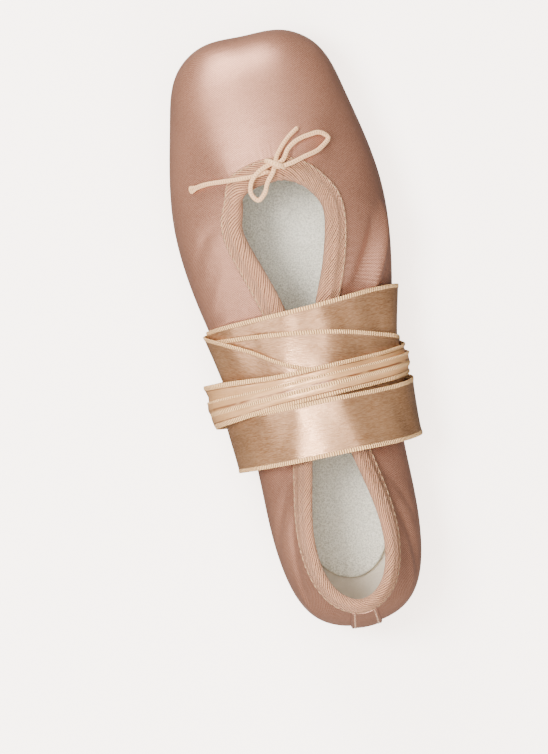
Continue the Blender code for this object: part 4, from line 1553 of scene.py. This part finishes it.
def build_ribbon(name, turns, lifts, side):
    """The cloth with its thickness, which swells a little at the selvedges."""
    middle, w, bunched = cloth_grid(turns, lifts, side)
    along = np.gradient(middle, axis=0)
    across = np.gradient(middle, axis=1)
    normal = np.cross(along, across)
    normal /= np.maximum(np.linalg.norm(normal, axis=2, keepdims=True), 1e-9)
    bead = smoothstep(np.abs(w), 0.84, 0.91) * np.sqrt(1 - smoothstep(np.abs(w), 0.97, 1.0) * 0.6)
    for ridge in FOLDED_EDGES:
        bead = bead + bunched[:, None] * bell(w * RIBBON_WIDTH / 2 - ridge, FOLDED_EDGE_WIDTH)
    half = (CLOTH_THICKNESS / 2 + SELVEDGE_BEAD * bead)[..., None]
    grid = np.concatenate([middle + normal * half, (middle - normal * half)[:, ::-1]], axis=1)
    run = run_along(middle[:, len(w) // 2])
    width = closed(np.concatenate([w, w[::-1]])) * RIBBON_WIDTH / 2
    obj = quad_skin(name, grid, laid_out(run, width))
    layer = obj.data.attributes.new("bunched", "FLOAT", "POINT")
    layer.data.foreach_set("value", np.repeat(bunched, grid.shape[1]))
    return obj, run[-1]


def ribbon_satin():
    """Glossy satin between two matt, cross-ribbed selvedges. Where the ribbon is bunched, its cloth
    is seen edge on, warmer and less glossy."""
    finish = Finish("ribbon_satin", Specular_IOR_Level=0.8)
    along, across = finish.on_cloth()
    here = finish.place()
    bunched = finish.node("ShaderNodeAttribute", {"attribute_name": "bunched"}, output="Fac")
    from_middle = across.math("ABSOLUTE")
    selvedge = from_middle.between(9.35, 9.6)
    shadow = bunched * from_middle.between(9.0, 9.2) * from_middle.between(9.6, 9.4)
    for edge in FOLDED_EDGES:
        shown = (across - edge).math("ABSOLUTE").between(0.75, 0.5) * bunched.between(0.3, 0.7)
        selvedge = selvedge.math("MAXIMUM", shown)
        beside = (across - (edge - 1.15)).math("ABSOLUTE").between(0.5, 0.1) * bunched
        shadow = shadow.math("MAXIMUM", beside)
    rib = along.wave(0.95)
    float_at = finish.node("ShaderNodeCombineXYZ", None, {0: along * 0.45, 1: across * 2.6})
    floats = finish.noise(float_at, 1.0, 3.0, 0.6)
    streak_at = finish.node("ShaderNodeCombineXYZ", None, {0: along * 0.12, 1: across * 0.8})
    streak = finish.noise(streak_at, 1.0, 2.0)
    grain = finish.noise(here, 0.4, 3.0, 0.6)
    tone = finish.noise(here, 16.0, 2.0)
    face = finish.blend(tone.between(0.3, 0.7), (0.42, 0.205, 0.092), (0.33, 0.15, 0.062))
    face = finish.blend(streak.between(0.4, 0.65) * 0.35, face, (0.58, 0.32, 0.17))
    face = finish.blend(floats.between(0.4, 0.65) * 0.5, face, (0.66, 0.385, 0.215))
    face = finish.blend(bunched * 0.75, face, (0.80, 0.42, 0.17))
    face = finish.blend(shadow * streak.between(0.3, 0.55), face, (0.22, 0.075, 0.025))
    # Painted shade: the selvedge's colour darkens between its cross ribs.
    cord = finish.blend(rib.between(-0.7, 0.4), (0.34, 0.15, 0.05), (1.0, 0.61, 0.26))
    height = (floats * 1.6 + streak * 0.6 + grain * 0.7) * (1 - selvedge) + rib * selvedge * 3
    return finish.wear(
        Base_Color=finish.blend(selvedge, face, cord),
        Metallic=(1 - selvedge) * (0.58 - bunched * 0.3),
        Roughness=0.27 + selvedge * 0.45 + grain * 0.08,
        Normal=finish.bump(height, 0.07, 0.8),
    )


inner_lifts, outer_lifts = lay([stations_of(turns, TURN_STEP) for turns in (INNER_TURNS, OUTER_TURNS)])
gloss = ribbon_satin()
for name, node, turns, lifts, side in (
    ("ribbon_first", "ribbon_inner", INNER_TURNS, inner_lifts, -1),
    ("ribbon_second", "ribbon_outer", OUTER_TURNS, outer_lifts, 1),
):
    ribbon, length = build_ribbon(name, turns, eased(lifts), side)
    fit(ribbon, [gloss], [node])

# ---------------------------------------------------------------- studio
# A pale sheet under the shoe and soft lights: the key over one side, a wide one overhead, two beyond
# the toe, one beyond the heel and two weak low ones beside the waist. The camera is straight above,
# with a long lens.

FLOOR = min(cad_box[0].z, 0.0) - 0.0002

bpy.ops.mesh.primitive_plane_add(size=6, location=(0, 0, FLOOR))
floor = bpy.context.object
floor.name = "floor"
glow = {"Emission_Color": (1.0, 0.82, 0.70, 1), "Emission_Strength": 3.4}
matt = {"Roughness": 0.95, "Specular_IOR_Level": 0.2}
paper = Finish("paper", Base_Color=(0.86, 0.85, 0.84, 1), **matt, **glow)
floor.data.materials.append(paper.material)
floor.visible_diffuse = floor.visible_glossy = False

SHOT = Vector((0.0152, 0.0154, 0.032))
RIGHT = Vector((-0.9781, 0.2079, 0))
UP = Vector((-0.2079, -0.9781, 0))

# Where each soft light stands: to the right, up and above, from the shoe's middle as the camera sees
# it, in metres.
Light = namedtuple("Light", "name right up height size watts tint", defaults=((1.0, 0.985, 0.965),))
for light in (
    Light("key", -0.48, 0.12, 1.15, 0.42, 26),
    Light("overhead", -0.03, -0.05, 1.5, 1.1, 23),
    Light("toe", -0.36, 1.0, 0.5, 0.5, 16),
    Light("tip", -0.5, 1.15, 0.16, 0.5, 6),
    Light("side", 0.95, -0.6, 0.35, 0.7, 2.6, (1.0, 0.99, 0.98)),
    Light("heel", 0.35, -1.0, 0.5, 0.6, 19),
    Light("waist", -0.9, -0.5, 0.5, 0.6, 6),
):
    bulb = bpy.data.lights.new(light.name, "AREA")
    bulb.shape, bulb.size, bulb.energy, bulb.color = "DISK", light.size, light.watts, light.tint
    lamp = bpy.data.objects.new(light.name, bulb)
    lamp.location = SHOT + RIGHT * light.right + UP * light.up + Vector((0, 0, light.height))
    lamp.rotation_euler = (SHOT - lamp.location).to_track_quat("-Z", "Y").to_euler()
    bpy.context.scene.collection.objects.link(lamp)

world = bpy.data.worlds.new("room")
bpy.context.scene.world = world
world.use_nodes = True
room = world.node_tree.nodes["Background"].inputs
room["Color"].default_value, room["Strength"].default_value = (1.0, 0.985, 0.97, 1), 0.16

lens = bpy.data.cameras.new("camera")
lens.sensor_width = 36
DISTANCE = 2.4
VIEW_HEIGHT = 0.290
lens.lens = lens.sensor_width * DISTANCE / VIEW_HEIGHT
lens.clip_start, lens.clip_end = 0.1, 20
camera = bpy.data.objects.new("camera", lens)
camera.matrix_world = Matrix(
    (
        (RIGHT.x, UP.x, 0, SHOT.x),
        (RIGHT.y, UP.y, 0, SHOT.y),
        (RIGHT.z, UP.z, 1, SHOT.z + DISTANCE),
        (0, 0, 0, 1),
    )
)
bpy.context.scene.collection.objects.link(camera)
bpy.context.scene.camera = camera
